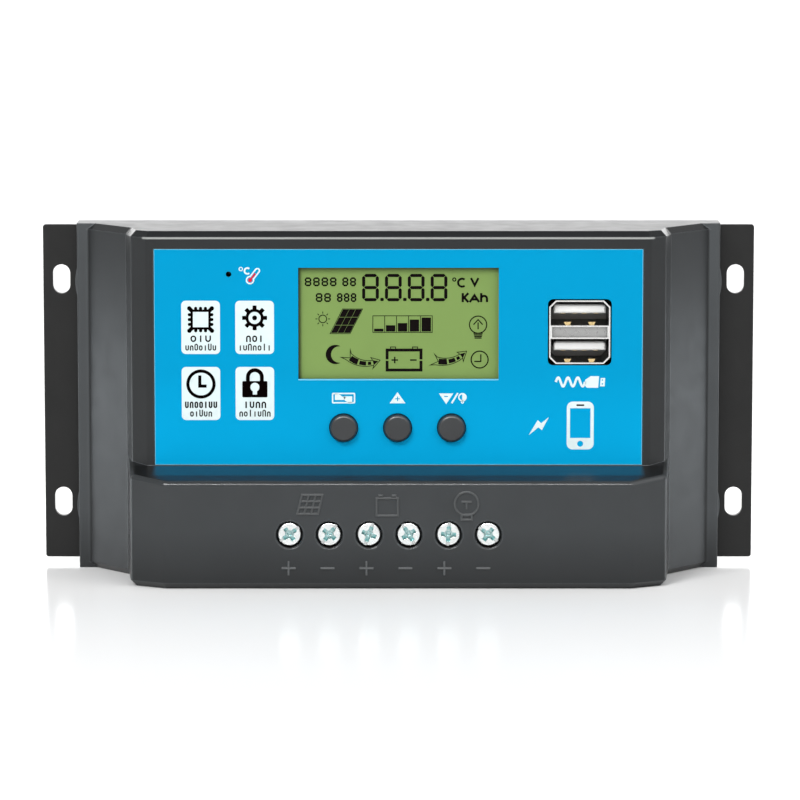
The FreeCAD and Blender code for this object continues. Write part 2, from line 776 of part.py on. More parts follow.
def make_shunts():
    """Current shunts: bent strips on the power board behind the terminals."""
    strips = []
    for x in (-20.0, -3.0, 14.0):
        d = power_board_front
        top = box(x - 5, x + 5, d + 2.4, d + 3.2, 22.6, 25.0)
        legs = [box(*sorted((x + s * 5, x + s * 4.2)), d, d + 3.2, 22.6, 25.0) for s in (-1, 1)]
        strips.append(fuse_all([top] + legs))
    return group(strips)


def make_transistors():
    """Six power transistors laid flat on the plate, tabs up, leads bent into the board."""
    back = plate_thickness + pad_thickness
    bend = transistor_z - 6.0
    bodies = []
    for x in transistor_x:
        body = box(x - 5, x + 5, back, back + 4.4, transistor_z - 4.6, transistor_z + 4.6)
        tab = box(x - 5, x + 5, back, back + tab_thickness, transistor_z + 4,
                  transistor_z + 11.2)
        tab = tab.cut(rod(x, transistor_z + transistor_hole, 1.8, 0, through))
        leads = []
        for lead in transistor_leads:
            left, right = x + lead - 0.4, x + lead + 0.4
            leads += [box(left, right, back + 2.2, back + 2.7, bend, bend + 1.5),
                      box(left, right, back + 2.2, power_board_front + 0.8, bend, bend + 0.6)]
        bodies.append(fuse_all([body, tab] + leads))
    return group(bodies)


def make_thermal_pad():
    half = max(transistor_x) + 7
    pad = box(-half, half, plate_thickness, plate_thickness + pad_thickness,
              transistor_z - 5.5, transistor_z + 12.2)
    return cut_all(pad, [rod(x, transistor_z + transistor_hole, 1.8, 0, through)
                         for x in transistor_x])


def make_transistor_screws():
    front = plate_thickness + pad_thickness + tab_thickness
    z = transistor_z + transistor_hole
    screws = []
    for x in transistor_x:
        head = rod(x, z, 2.6, front, front + 1.7)
        shank = rod(x, z, transistor_screw, 0.2, front + 0.5)
        drive = cross_drive(x, z, 1.5, 0.25, front + 0.9, front + 3)
        screws.append(cut_all(fuse_all([head, shank]), drive))
    return group(screws)


def make_spacers():
    spacers = []
    for side in (-1, 1):
        for z in spacer_z:
            x = side * spacer_x
            body = rod(x, z, spacer_radius, plate_thickness, power_board_back)
            root = rod(x, z, spacer_root, 0.3, plate_thickness + 0.5)
            bore = rod(x, z, board_screw_shank + 0.05, 1.4, through)
            spacers.append(fuse_all([body, root]).cut(bore))
    return group(spacers)


def make_board_screws():
    screws = []
    for side in (-1, 1):
        for z in spacer_z:
            x = side * spacer_x
            head = rod(x, z, board_screw_head, power_board_front, power_board_front + 1.9)
            shank = rod(x, z, board_screw_shank, 2.6, power_board_front + 0.5)
            drive = cross_drive(x, z, 1.6, 0.28, power_board_front + 1.0, through)
            screws.append(cut_all(fuse_all([head, shank]), drive))
    return group(screws)


# ---- screw terminals ----
def make_terminal_block():
    """Six-way housing: a row of cells open to the front and to the wires below."""
    half = terminal_count * terminal_pitch / 2 + 0.4
    body = box(terminal_middle_x - half, terminal_middle_x + half, power_board_front,
               block_depth, block_bottom, block_top)
    tools = []
    for x in terminal_x:
        tools.append(box(x - cell_half_width, x + cell_half_width, contact_depth[0],
                         block_depth + 1, block_bottom - 1, cell_top))
        tools.append(rod(x, terminal_z, 1.9, 14.2, contact_depth[0] + 1))
        tools.append(box(x - 1.0, x + 1.0, power_board_front - 1, contact_depth[0] + 1,
                         contact_tail_z[0] - 0.05, contact_tail_z[1] + 0.05))
    return cut_all(body, tools)


def make_terminal_contacts():
    """Plated bars with a tapped hole, each with a tail through the power board."""
    bars = []
    d0, d1 = contact_depth
    for x in terminal_x:
        bar = box(x - cell_half_width + 0.15, x + cell_half_width - 0.15, d0, d1,
                  block_bottom + 1.2, cell_top - 0.1)
        tail = box(x - 0.9, x + 0.9, power_board_back - 1.0, d0 + 0.5, *contact_tail_z)
        bar = bar.cut(rod(x, terminal_z, thread_hole_radius, 0, through))
        bars.append(fuse_all([bar, tail]))
    return group(bars)


def make_clamp(x):
    """Square pressure plate under a screw's head, its edge turned down to grip the wire."""
    back = head_underside - clamp_thickness
    half = clamp_half_width
    plate = box(x - half, x + half, back, head_underside, terminal_z - half,
                terminal_z + half + 0.3)
    edges = [e for e in plate.Edges if abs(e.BoundBox.YMax - y_at(head_underside)) < 1e-6]
    plate = plate.makeChamfer(0.3, edges)
    return plate.cut(rod(x, terminal_z, thread_hole_radius + 0.1, 0, through))


def make_terminal_screw(x, turn):
    """Pan-head screw with a combined cross and slot drive."""
    front = head_underside + head_height
    head = rod(x, terminal_z, head_radius, head_underside, front)
    rim = [e for e in head.Edges if abs(e.BoundBox.YMin - y_at(front)) < 1e-3
           and e.BoundBox.YLength < 1e-3]
    head = head.makeFillet(0.45, rim)
    end = head_underside - screw_length
    shank = rod(x, terminal_z, thread_radius, end + screw_tip, head_underside + 0.5)
    tip = cone(x, terminal_z, 0.9, thread_radius, end, end + screw_tip)
    cross = cross_drive(x, terminal_z, 1.6, 0.47, front - 1.5, front + 1)
    well = cone(x, terminal_z, 0.45, 0.95, front - 1.9, front + 0.01)
    slot = box(x - 4, x + 4, front - 0.5, front + 1, terminal_z - 0.33, terminal_z + 0.33)
    screw = cut_all(fuse_all([head, shank, tip]), cross + [well, slot])
    screw.rotate(V(x, 0, terminal_z), V(0, 1, 0), turn)
    return screw


# ---- the assembly ----
def build():
    parts["back_plate"] = make_back_plate()
    parts["case_screws"] = make_case_screws()
    parts["front_case"] = make_front_case()
    parts["printed_film"] = make_film()
    parts["temperature_sensor"] = make_sensor()
    for name, x in zip(button_names, button_x):
        parts[f"button_cap_{name}"] = make_button_cap(x)
        parts[f"switch_plunger_{name}"] = make_switch_plunger(x)
        parts[f"switch_body_{name}"] = make_switch_body(x)
    parts["socket_shell"] = make_socket_shell()
    parts["socket_cores"] = make_socket_cores()
    parts["socket_contacts"] = make_socket_contacts()
    parts["display_glass"] = make_glass()
    parts["display_light_guide"] = make_light_guide()
    parts["display_frame"] = make_display_frame()
    parts["display_pins"] = make_display_pins()
    parts["power_board"] = make_power_board()
    parts["control_board"] = make_control_board()
    parts["board_posts"] = make_board_posts()
    parts["board_header"] = make_board_header()
    parts["control_chips"] = make_chips()
    parts["capacitors"] = make_capacitors()
    parts["choke"] = make_choke()
    parts["current_shunts"] = make_shunts()
    parts["power_transistors"] = make_transistors()
    parts["thermal_pad"] = make_thermal_pad()
    parts["transistor_screws"] = make_transistor_screws()
    parts["board_spacers"] = make_spacers()
    parts["board_screws"] = make_board_screws()
    parts["terminal_block"] = make_terminal_block()
    parts["terminal_contacts"] = make_terminal_contacts()
    for i, x in enumerate(terminal_x):
        parts[f"wire_clamp_{i + 1}"] = make_clamp(x)
        parts[f"terminal_screw_{i + 1}"] = make_terminal_screw(x, head_turn[i])


def export():
    os.makedirs("parts", exist_ok=True)
    for name, shape in parts.items():
        solids = shape.Solids
        whole = solids[0] if len(solids) == 1 else Part.makeCompound(solids)
        whole.exportStep(f"parts/{name}.step")
        print(f"{name}: {len(solids)} solid(s), valid {whole.isValid()}, {whole.Volume:.1f} mm3")


build()
export()
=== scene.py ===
"""Looks of the wall-mounted charge controller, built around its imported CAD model.

The CAD nodes keep their shapes and get procedural materials. What is printed on the film and
what the display shows are thin closed plates, drawn in millimetres from places that the frame
gives. X runs to the right, the front faces -Y and Z is up, as in the CAD model.
"""

import json
import math

import bmesh
import bpy
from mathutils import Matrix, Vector
from mathutils.geometry import tessellate_polygon


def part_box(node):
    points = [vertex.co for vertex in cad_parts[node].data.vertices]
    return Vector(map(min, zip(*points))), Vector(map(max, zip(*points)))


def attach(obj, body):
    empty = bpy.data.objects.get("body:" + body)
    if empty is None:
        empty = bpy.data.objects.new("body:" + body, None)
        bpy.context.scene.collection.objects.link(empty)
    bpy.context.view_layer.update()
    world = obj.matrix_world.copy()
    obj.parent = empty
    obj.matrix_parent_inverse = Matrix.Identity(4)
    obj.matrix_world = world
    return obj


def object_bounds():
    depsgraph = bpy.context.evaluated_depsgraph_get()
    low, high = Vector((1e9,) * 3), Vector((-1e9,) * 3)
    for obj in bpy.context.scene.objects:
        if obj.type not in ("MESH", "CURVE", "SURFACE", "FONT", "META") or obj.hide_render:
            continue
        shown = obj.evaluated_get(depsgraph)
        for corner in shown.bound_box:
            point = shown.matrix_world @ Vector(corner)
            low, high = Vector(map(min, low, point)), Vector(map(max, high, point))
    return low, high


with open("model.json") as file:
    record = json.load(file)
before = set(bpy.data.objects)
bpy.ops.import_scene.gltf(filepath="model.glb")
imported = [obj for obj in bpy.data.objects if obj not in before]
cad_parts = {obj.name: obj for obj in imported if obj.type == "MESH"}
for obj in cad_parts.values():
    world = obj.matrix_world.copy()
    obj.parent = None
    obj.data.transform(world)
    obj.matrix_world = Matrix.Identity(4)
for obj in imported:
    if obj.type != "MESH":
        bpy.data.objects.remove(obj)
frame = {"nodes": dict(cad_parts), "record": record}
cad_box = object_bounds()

MM = 0.001


# ---- camera, light and floor ----
CAMERA_DISTANCE = 1.0       # metres, from the wall plane
CAMERA_HEIGHT = 0.16924
CAMERA_SIDE = 0.00033
CAMERA_PITCH = 7.5807       # degrees below the horizon
LENS = 205.66               # millimetres on a 36 mm sensor


def make_camera():
    """A long lens from in front and a little above."""
    data = bpy.data.cameras.new("camera")
    data.sensor_width = 36
    data.lens = LENS
    data.clip_start = 0.05
    data.clip_end = 20
    camera = bpy.data.objects.new("camera", data)
    camera.location = (CAMERA_SIDE, cad_box[1][1] - CAMERA_DISTANCE, CAMERA_HEIGHT)
    camera.rotation_euler = (math.radians(90 - CAMERA_PITCH), 0, 0)
    bpy.context.scene.collection.objects.link(camera)
    bpy.context.scene.camera = camera


def softbox(name, place, target, size, power, tint=(1, 1, 1)):
    """A rectangular lamp at a place, that faces the target."""
    data = bpy.data.lights.new(name, "AREA")
    data.shape = "RECTANGLE"
    data.size, data.size_y = size
    data.energy = power
    data.color = tint
    lamp = bpy.data.objects.new(name, data)
    lamp.location = place
    lamp.rotation_euler = (Vector(target) - Vector(place)).to_track_quat("-Z", "Y").to_euler()
    bpy.context.scene.collection.objects.link(lamp)
    return lamp


def sun(name, source, strength, width):
    """A broad sun that shines from the source towards the origin, width in degrees."""
    data = bpy.data.lights.new(name, "SUN")
    data.energy = strength
    data.angle = math.radians(width)
    lamp = bpy.data.objects.new(name, data)
    lamp.rotation_euler = (-Vector(source)).to_track_quat("-Z", "Y").to_euler()
    bpy.context.scene.collection.objects.link(lamp)


def make_world():
    """A pale studio: bright around the horizon, most of all behind the object, dim overhead."""
    world = bpy.data.worlds.new("studio")
    world.use_nodes = True
    tree = world.node_tree
    axes = tree.nodes.new("ShaderNodeSeparateXYZ")
    place = tree.nodes.new("ShaderNodeTexCoord")
    tree.links.new(place.outputs["Generated"], axes.inputs[0])
    shares = []
    for axis, start, end, low, high in (("Z", 0.15, 0.8, 0.6, 0.2), ("Y", -0.1, 0.8, 0.0, 0.35)):
        share = tree.nodes.new("ShaderNodeMapRange")
        tree.links.new(axes.outputs[axis], share.inputs["Value"])
        share.inputs["From Min"].default_value = start
        share.inputs["From Max"].default_value = end
        share.inputs["To Min"].default_value = low
        share.inputs["To Max"].default_value = high
        shares.append(share.outputs["Result"])
    total = tree.nodes.new("ShaderNodeMath")
    tree.links.new(shares[0], total.inputs[0])
    tree.links.new(shares[1], total.inputs[1])
    background = tree.nodes["Background"]
    background.inputs["Color"].default_value = (1, 1, 1, 1)
    tree.links.new(total.outputs["Value"], background.inputs["Strength"])
    bpy.context.scene.world = world


def make_light():
    """Two suns in front, softboxes at the sides and behind, and a strip for the shiny edges."""
    make_world()
    middle = (0, 0, 0.04)
    side_size, side_power, cool = (0.35, 0.18), 1.12, (0.86, 0.94, 1.0)
    sun("key_sun", (-0.45, -0.75, 0.8), 2.28, 24)
    sun("fill_sun", (0.6, -0.5, 0.8), 1.5, 60)
    softbox("left_softbox", (-0.85, 0.3, 0.1), middle, side_size, side_power, cool)
    softbox("right_softbox", (0.85, 0.3, 0.1), middle, side_size, side_power, cool)
    softbox("back_softbox", (0, 1.0, 0.34), middle, (1.6, 0.4), 3)
    strip = softbox("edge_strip", (-0.1, -0.9, 0.85), middle, (1.0, 0.06), 13)
    strip.visible_diffuse = False
    settings = bpy.context.scene.view_settings
    settings.view_transform = "Standard"
    settings.look = "None"


FLOOR_GLOW_REACH = (-0.03, -0.11)   # Y where the floor's glow starts to grow, and where it is full


def make_floor():
    """A pale satin floor that glows a little towards the camera."""
    half = 4.0
    mesh = bpy.data.meshes.new("floor")
    corners = [(-half, -half, 0), (half, -half, 0), (half, half, 0), (-half, half, 0)]
    mesh.from_pydata(corners, [], [(0, 1, 2, 3)])
    floor = bpy.data.objects.new("floor", mesh)
    bpy.context.scene.collection.objects.link(floor)
    paint = Finish("floor_paint")
    paint.set("Base Color", (0.99, 0.99, 0.99, 1))
    paint.set("Specular IOR Level", 0.22)
    paint.link("Roughness", paint.between(paint.noise(6), 0.12, 0.17))
    near = paint.along("Y", *FLOOR_GLOW_REACH)
    paint.link("Emission Color", paint.blend(near, (0.2, 0.2, 0.2), (1, 1, 1)))
    paint.set("Emission Strength", 0.11)
    mesh.materials.append(paint.material)


# ---- materials ----
# places on the case, in metres
BRIM_DEPTH = 0.0074         # from the wall to the front of the case's brim
CREST_DROP = 0.0013         # from the case's top down to the face's top edge
SHADED_FOOT_HEIGHT = 0.013         # the case is painted darker below this, as shade at its foot
POLE_SIGN_TOPS = (0.009, 0.012)     # heights between the pole signs and the pictures over them
STEP_REFLECTION_FADE = 0.0051     # from the film to where the painted reflection of its blue starts to fade from the step
STEP_REFLECTION_END = 0.0062      # and to where it ends
SIDE_BOW = 0.335            # radians that the slanted sides seem to lean back by at their top

# colours
CASE_BLACK = (0.015, 0.0165, 0.0175)
# painted highlight colour for the face's top edge
SIGN_GREY = (0.085, 0.09, 0.092)
CREST_HIGHLIGHT_GREY = (0.31, 0.32, 0.31)
PLATE_BLACK = (0.004, 0.004, 0.0038)
FILM_BLUE = (0.0, 0.294, 0.553)
# painted reflections on the step: the film's blue, then a dark band
STEP_REFLECTED_BLUE = (0.009, 0.04, 0.066)
STEP_REFLECTED_DARK = (0.013, 0.008, 0.007)
DISPLAY_GREEN = (0.168, 0.262, 0.071)
STEEL = (0.66, 0.66, 0.64)


class Finish:
    """A Principled material, with short names for the nodes that feed it."""

    def __init__(self, name):
        self.material = bpy.data.materials.new(name)
        self.material.use_nodes = True
        self.tree = self.material.node_tree
        self.shader = self.tree.nodes["Principled BSDF"]
        self.place = self.new("TexCoord").outputs["Object"]

    def new(self, kind):
        return self.tree.nodes.new("ShaderNode" + kind)

    def wire(self, source, socket):
        self.tree.links.new(source, socket)

    def set(self, name, value):
        self.shader.inputs[name].default_value = value

    def link(self, name, source):
        self.wire(source, self.shader.inputs[name])

    def stretched(self, x, y, z):
        """Object coordinates, stretched so that a texture runs along one axis."""
        mapping = self.new("Mapping")
        self.wire(self.place, mapping.inputs["Vector"])
        mapping.inputs["Scale"].default_value = (x, y, z)
        return mapping.outputs["Vector"]

    def noise(self, scale, detail=2.0, roughness=0.5, place=None):
        node = self.new("TexNoise")
        self.wire(place or self.place, node.inputs["Vector"])
        node.inputs["Scale"].default_value = scale
        node.inputs["Detail"].default_value = detail
        node.inputs["Roughness"].default_value = roughness
        return node.outputs["Fac"]

    def cells(self, scale, feature="F1"):
        node = self.new("TexVoronoi")
        node.feature = feature
        self.wire(self.place, node.inputs["Vector"])
        node.inputs["Scale"].default_value = scale
        return node.outputs["Distance"]

    def between(self, source, low, high, start=0.3, end=0.7):
        """source, from start to end, mapped to low to high."""
        node = self.new("MapRange")
        self.wire(source, node.inputs["Value"])
        for name, value in (("From Min", start), ("From Max", end), ("To Min", low), ("To Max", high)):
            node.inputs[name].default_value = value
        return node.outputs["Result"]

    def blend(self, share, low, high):
        """low and high colours, or colour outputs, mixed by share."""
        node = self.new("Mix")
        node.data_type = "RGBA"
        self.wire(share, node.inputs["Factor"])
        for socket, value in ((node.inputs[6], low), (node.inputs[7], high)):
            if isinstance(value, tuple):
                socket.default_value = (*value, 1)
            else:
                self.wire(value, socket)
        return node.outputs[2]

    def tinted(self, colour, tint):
        """One colour output multiplied by another."""
        node = self.new("Mix")
        node.data_type = "RGBA"
        node.blend_type = "MULTIPLY"
        node.inputs["Factor"].default_value = 1.0
        self.wire(colour, node.inputs[6])
        self.wire(tint, node.inputs[7])
        return node.outputs[2]

    def rounded(self, radius):
        """The normal, as if edges were rounded by a radius."""
        bevel = self.new("Bevel")
        bevel.samples = 6
        bevel.inputs["Radius"].default_value = radius
        return bevel.outputs["Normal"]

    def edges(self, radius, wear_and_sheen):
        """wear_and_sheen on edges sharper than a radius, and 0 on flat ground: the share of a lighter
        edge colour, for scuffed edges and for painted edge highlights.
        """
        plain = self.new("NewGeometry").outputs["Normal"]
        dot = self.new("VectorMath")
        dot.operation = "DOT_PRODUCT"
        self.wire(self.rounded(radius), dot.inputs[0])
        self.wire(plain, dot.inputs[1])
        return self.between(dot.outputs["Value"], wear_and_sheen, 0, 0.9, 0.995)

    def normal(self, axis):
        """How far the surface faces along an axis."""
        axes = self.new("SeparateXYZ")
        self.wire(self.new("NewGeometry").outputs["Normal"], axes.inputs[0])
        return axes.outputs[axis]

    def shoulders(self):
        """1 on rounded edges that face both the front and the top."""
        above = self.between(self.normal("Z"), 0, 1, 0.1, 0.3)
        below = self.between(self.normal("Z"), 1, 0, 0.75, 0.9)
        return self.overlap(above, below)

    def math(self, operation, a, b=None):
        node = self.new("Math")
        node.operation = operation
        for socket, value in zip(node.inputs, (a, b)):
            if isinstance(value, (int, float)):
                socket.default_value = value
            elif value is not None:
                self.wire(value, socket)
        return node.outputs["Value"]

    def openness(self, distance, low=0.0, high=1.0):
        """high where the surface is open, low in recesses narrower than distance."""
        node = self.new("AmbientOcclusion")
        node.samples = 8
        node.inputs["Distance"].default_value = distance
        return self.between(node.outputs["AO"], low, high, 0.3, 0.9)

    def along(self, axis, start, end):
        """0 to 1 as the object coordinate goes from start to end along an axis."""
        axes = self.new("SeparateXYZ")
        self.wire(self.place, axes.inputs[0])
        return self.between(axes.outputs[axis], 0, 1, start, end)

    def leaning(self, normal, lean):
        """A normal that leans upwards, by about lean radians."""
        upwards = self.new("CombineXYZ")
        self.wire(lean, upwards.inputs["Z"])
        total = self.new("VectorMath")
        self.wire(normal, total.inputs[0])
        self.wire(upwards.outputs["Vector"], total.inputs[1])
        unit = self.new("VectorMath")
        unit.operation = "NORMALIZE"
        self.wire(total.outputs["Vector"], unit.inputs[0])
        return unit.outputs["Vector"]

    def bump(self, height, distance, rounding=0.0, lean=None):
        """Relief of a height, over edges that look rounded by a radius."""
        node = self.new("Bump")
        node.inputs["Distance"].default_value = distance
        self.wire(height, node.inputs["Height"])
        if rounding:
            normal = self.rounded(rounding)
            normal = self.leaning(normal, lean) if lean else normal
            self.wire(normal, node.inputs["Normal"])
        self.link("Normal", node.outputs["Normal"])

    def overlap(self, *shares):
        """Where all the shares hold: their product, from 0 to 1."""
        total = shares[0]
        for share in shares[1:]:
            total = self.math("MULTIPLY", total, share)
        return total


def shade(colour, factor):
    """A colour made lighter or darker."""
    return tuple(min(1.0, c * factor) for c in colour)


def grey(value):
    return (value, value, value)


def moulded(name, colour, roughness=0.42, grain=0.000006, grain_scale=3200, specular=0.5, wear_and_sheen=0.15):
    """Moulded plastic: a fine spark-eroded grain, uneven gloss, edges rubbed a little lighter."""
    f = Finish(name)
    ground = f.blend(f.between(f.noise(90, 3), 0, 1), shade(colour, 0.92), shade(colour, 1.08))
    rubbed = tuple(c + (1 - c) * 0.1 for c in colour)
    f.link("Base Color", f.blend(f.edges(0.0003, wear_and_sheen), ground, rubbed))
    f.link("Roughness", f.between(f.noise(240, 3), roughness - 0.05, roughness + 0.07))
    f.set("Specular IOR Level", specular)
    f.bump(f.noise(grain_scale, 4, 0.6), grain)
    return f.material


def paint_step_reflection(f, black):
    """How much of a surface is the step under the film, and the painted reflection of the film's blue
    on it, with a painted dark reflection further out and painted shade at its ends.
    """
    low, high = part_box("printed_film")
    front = low[1]
    faces_up = f.between(f.normal("Z"), 0, 1, 0.85, 0.95)
    step = f.overlap(faces_up, f.along("Y", front + 0.0002, front - 0.0002))
    left = f.along("X", low[0] - 0.0006, low[0] + 0.0004)
    right = f.along("X", high[0] + 0.0006, high[0] - 0.0004)
    # painted reflection: the film's blue, fading into a painted dark reflection further out
    rear = f.along("Y", front - STEP_REFLECTION_END, front - STEP_REFLECTION_FADE)
    film_reflection = f.blend(rear, STEP_REFLECTED_DARK, STEP_REFLECTED_BLUE)
    # painted shade at the step's ends
    return step, f.blend(f.overlap(left, right), shade(black, 0.4), film_reflection)


def case_ground_with_painted_light(f, colour):
    """The plastic's colour with painted light and shade: painted light on the block, the brim and the
    brim's front, painted shade at the foot and in the relief.
    """
    film_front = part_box("printed_film")[0][1]
    brim_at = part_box("front_case")[1][1] - BRIM_DEPTH
    # painted light: the block and the brim's edge are made lighter, where light falls on them
    block = f.along("Y", film_front - 0.0005, film_front - 0.003)
    brim = f.along("Y", brim_at - 0.0001, brim_at + 0.0001)
    lit_block_and_brim = f.blend(f.math("MAXIMUM", block, brim), colour, shade(colour, 2.2))
    # painted highlight on the brim's front face
    faces_front = f.between(f.normal("Y"), 1, 0, -0.95, -0.8)
    brim_front = f.overlap(f.along("Y", brim_at - 0.0004, brim_at - 0.0002), faces_front)
    ground = f.blend(brim_front, lit_block_and_brim, shade(colour, 3.7))
    mottle = f.blend(f.between(f.noise(90, 3), 0, 1), grey(0.9), grey(1.0))
    # painted shade: darker towards the foot
    foot = f.blend(f.along("Z", 0.0, SHADED_FOOT_HEIGHT), grey(0.35), grey(1.0))
    # painted shade in recesses
    relief = f.blend(f.openness(0.0005), grey(0.5), grey(1.0))
    for tone_and_shade in (mottle, foot, relief):
        ground = f.tinted(ground, tone_and_shade)
    return ground


def crest_highlight_line(f):
    """Where a painted highlight runs: 1 along the face's top edge, where its chamfer starts, and 0
    elsewhere.
    """
    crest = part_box("front_case")[1][2] - CREST_DROP
    film_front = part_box("printed_film")[0][1]
    from_below = f.along("Z", crest - 0.00045, crest - 0.0002)
    from_above = f.along("Z", crest + 0.00015, crest - 0.00005)
    return f.overlap(from_below, from_above, f.along("Y", film_front + 0.0007, film_front + 0.0004))


def case_plastic(name, colour, signs):
    """The case's moulded plastic: a slight bow in its slanted sides, painted highlights on its edges
    and along the face's top edge, a painted reflection on the step, and raised signs.
    """
    f = Finish(name)
    low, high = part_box("front_case")
    # painted reflection of the film on the step under it
    step, step_reflection = paint_step_reflection(f, colour)
    ground = f.blend(step, case_ground_with_painted_light(f, colour), step_reflection)
    # painted highlights on the case's edges
    worn_and_highlit = f.blend(f.edges(0.00025, 0.5), ground, shade(colour, 10))
    # painted highlight along the face's top edge
    crest_highlit = f.blend(crest_highlight_line(f), worn_and_highlit, CREST_HIGHLIGHT_GREY)
    raised = f.along("Y", low[1] + 0.00016, low[1] + 0.00008)
    marks = f.blend(f.along("Z", *POLE_SIGN_TOPS), signs, shade(signs, 0.72))
    f.link("Base Color", f.blend(raised, crest_highlit, marks))
    gloss = f.between(f.noise(240, 3), 0.32, 0.38)
    f.link("Roughness", f.math("SUBTRACT", gloss, f.math("MULTIPLY", f.shoulders(), 0.15)))
    f.set("Specular IOR Level", 0.3)
    sideways = f.between(f.math("ABSOLUTE", f.normal("X")), 0.0, 1.0, 0.66, 0.72)
    bow = f.math("MULTIPLY", f.along("Z", low[2], high[2]), SIDE_BOW)
    f.bump(f.noise(3200, 4, 0.6), 0.000005, 0.0003, f.overlap(sideways, bow))
    return f.material


def enamelled(name, colour):
    """Baked enamel on sheet steel: orange peel, with a few fine scratches."""
    f = Finish(name)
    scratches = f.between(f.noise(260, 4, 0.5, f.stretched(1, 1, 14)), 0, 1, 0.70, 0.78)
    ground = f.blend(f.between(f.noise(70, 2), 0, 1), shade(colour, 0.85), shade(colour, 1.15))
    worn_and_highlit = f.blend(scratches, ground, shade(colour, 1.8))
    # edges painted lighter: scuffing, and a painted edge highlight
    f.link("Base Color", f.blend(f.edges(0.0002, 0.3), worn_and_highlit, (0.12, 0.12, 0.125)))
    f.link("Roughness", f.between(f.noise(300, 2), 0.32, 0.44))
    f.set("Specular IOR Level", 0.36)
    f.bump(f.noise(950, 2, 0.5), 0.00001, 0.0002)
    return f.material


def metal(name, colour, roughness, along=(1, 1, 1)):
    """Bare or plated metal, with drawn lines along one axis and cloudy plating."""
    f = Finish(name)
    lines = f.noise(900, 3, 0.6, f.stretched(*along))
    clouds = f.between(f.noise(420, 3), 0, 1, 0.35, 0.65)
    f.link("Base Color", f.blend(clouds, colour, shade(colour, 0.86)))
    f.set("Metallic", 1.0)
    f.link("Roughness", f.between(lines, roughness - 0.07, roughness + 0.1))
    f.bump(lines, 0.000004)
    return f.material


def screw_zinc(name, colour, recess):
    """Bright zinc plating, with the blue-green passivation left in the drive's recess, and painted
    shade in the slot and other recesses.
    """
    f = Finish(name)
    axes = f.new("SeparateXYZ")
    f.wire(f.new("TexCoord").outputs["Generated"], axes.inputs[0])
    off = [f.math("SUBTRACT", axes.outputs[axis], 0.5) for axis in ("X", "Z")]
    squares = [f.math("MULTIPLY", value, value) for value in off]
    radius = f.math("SQRT", f.math("ADD", *squares))
    drive = f.between(radius, 1, 0, 0.34, 0.38)
    shut = f.overlap(drive, f.openness(0.0012, 1, 0))
    clouds = f.between(f.noise(420, 3), 0, 1, 0.35, 0.65)
    plating = f.blend(clouds, colour, shade(colour, 0.9))
    # painted shade in the slot and other recesses
    shaded_plating = f.blend(f.openness(0.0009), shade(colour, 0.5), plating)
    f.link("Base Color", f.blend(shut, shaded_plating, recess))
    f.set("Metallic", 1.0)
    f.link("Roughness", f.between(f.noise(900, 3), 0.2, 0.36))
    f.bump(f.noise(1400, 3), 0.000006, 0.0001)
    return f.material


def socket_steel(name, colour):
    """Nickel-plated sheet: bright cut edges at the mouth, and painted shade that darkens it towards the
    closed end and in its recesses.
    """
    f = Finish(name)
    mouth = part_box("socket_shell")[0][1]
    # painted shade deeper in the socket and in its narrow recesses
    deep = f.along("Y", mouth + 0.0002, mouth + 0.0007)
    lines = f.noise(900, 3, 0.6, f.stretched(1, 9, 1))
    inside = f.blend(f.openness(0.004), shade(colour, 0.03), shade(colour, 0.4))
    f.link("Base Color", f.blend(deep, colour, inside))
    f.set("Metallic", 1.0)
    f.link("Roughness", f.between(lines, 0.24, 0.36))
    f.bump(lines, 0.000001)
    return f.material


def film(name, colour):
    """Screen print on the back of a satin polycarbonate film, with painted light at its foot and
    painted shade higher up.
    """
    f = Finish(name)
    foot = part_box("printed_film")[0][2]
    # painted light and shade: lighter at the foot, darker above
    tone_and_shade = f.blend(f.along("Z", foot, foot + 0.02), shade(colour, 1.12), shade(colour, 0.89))
    mottle = f.blend(f.between(f.noise(30, 2), 0, 1), grey(0.97), grey(1.0))
    f.link("Base Color", f.tinted(tone_and_shade, mottle))
    f.link("Roughness", f.between(f.noise(500, 2), 0.42, 0.5))
    f.set("Specular IOR Level", 0.03)
    f.bump(f.cells(4200), 0.000003)
    return f.material


def ink(name, colour, specular=0.2):
    """Printing ink with a faint mottle, also used for the painted edge highlights."""
    f = Finish(name)
    mottle = f.between(f.noise(700, 3), 0, 1)
    f.link("Base Color", f.blend(mottle, shade(colour, 0.96), shade(colour, 1.04)))
    f.link("Roughness", f.between(f.noise(1500, 2), 0.4, 0.5))
    f.set("Specular IOR Level", specular)
    f.bump(f.noise(5000, 2), 0.000002)
    return f.material


def display_face(name, colour):
    """Yellow-green reflective display: the polariser's faint mottle over the light guide, with a
    painted shadow of the window's rim along its top and left edges.
    """
    f = Finish(name)
    mottle = f.blend(f.between(f.noise(60, 2), 0, 1), shade(colour, 0.97), shade(colour, 1.03))
    left, _, _, top = (edge * MM for edge in window_edges())
    # painted shadow of the window's rim along the top and left edges
    lit = f.overlap(f.along("X", left + 0.0001, left + 0.0008),
                    f.along("Z", top - 0.0001, top - 0.0008))
    f.link("Base Color", f.blend(lit, shade(colour, 0.22), mottle))
    f.link("Roughness", f.between(f.noise(2600, 2), 0.3, 0.4))
    f.set("Specular IOR Level", 0.2)
    f.bump(f.noise(6000, 2), 0.000002)
    return f.material


def circuit_board(name, colour):
    """Green solder mask over copper tracks."""
    f = Finish(name)
    tracks = f.between(f.cells(420, "DISTANCE_TO_EDGE"), 1, 0, 0.04, 0.08)
    f.link("Base Color", f.blend(tracks, colour, shade(colour, 1.7)))
    f.link("Roughness", f.between(f.noise(300), 0.25, 0.35))
    f.bump(tracks, 0.00002)
    return f.material


def rubbery(name, colour):
    """Silicone sheet, woven with glass fibre."""
    f = Finish(name)
    f.link("Base Color", f.blend(f.between(f.noise(800, 4), 0, 1), shade(colour, 0.85), colour))
    f.link("Roughness", f.between(f.noise(900), 0.7, 0.85))
    f.bump(f.cells(1500), 0.00003)
    return f.material


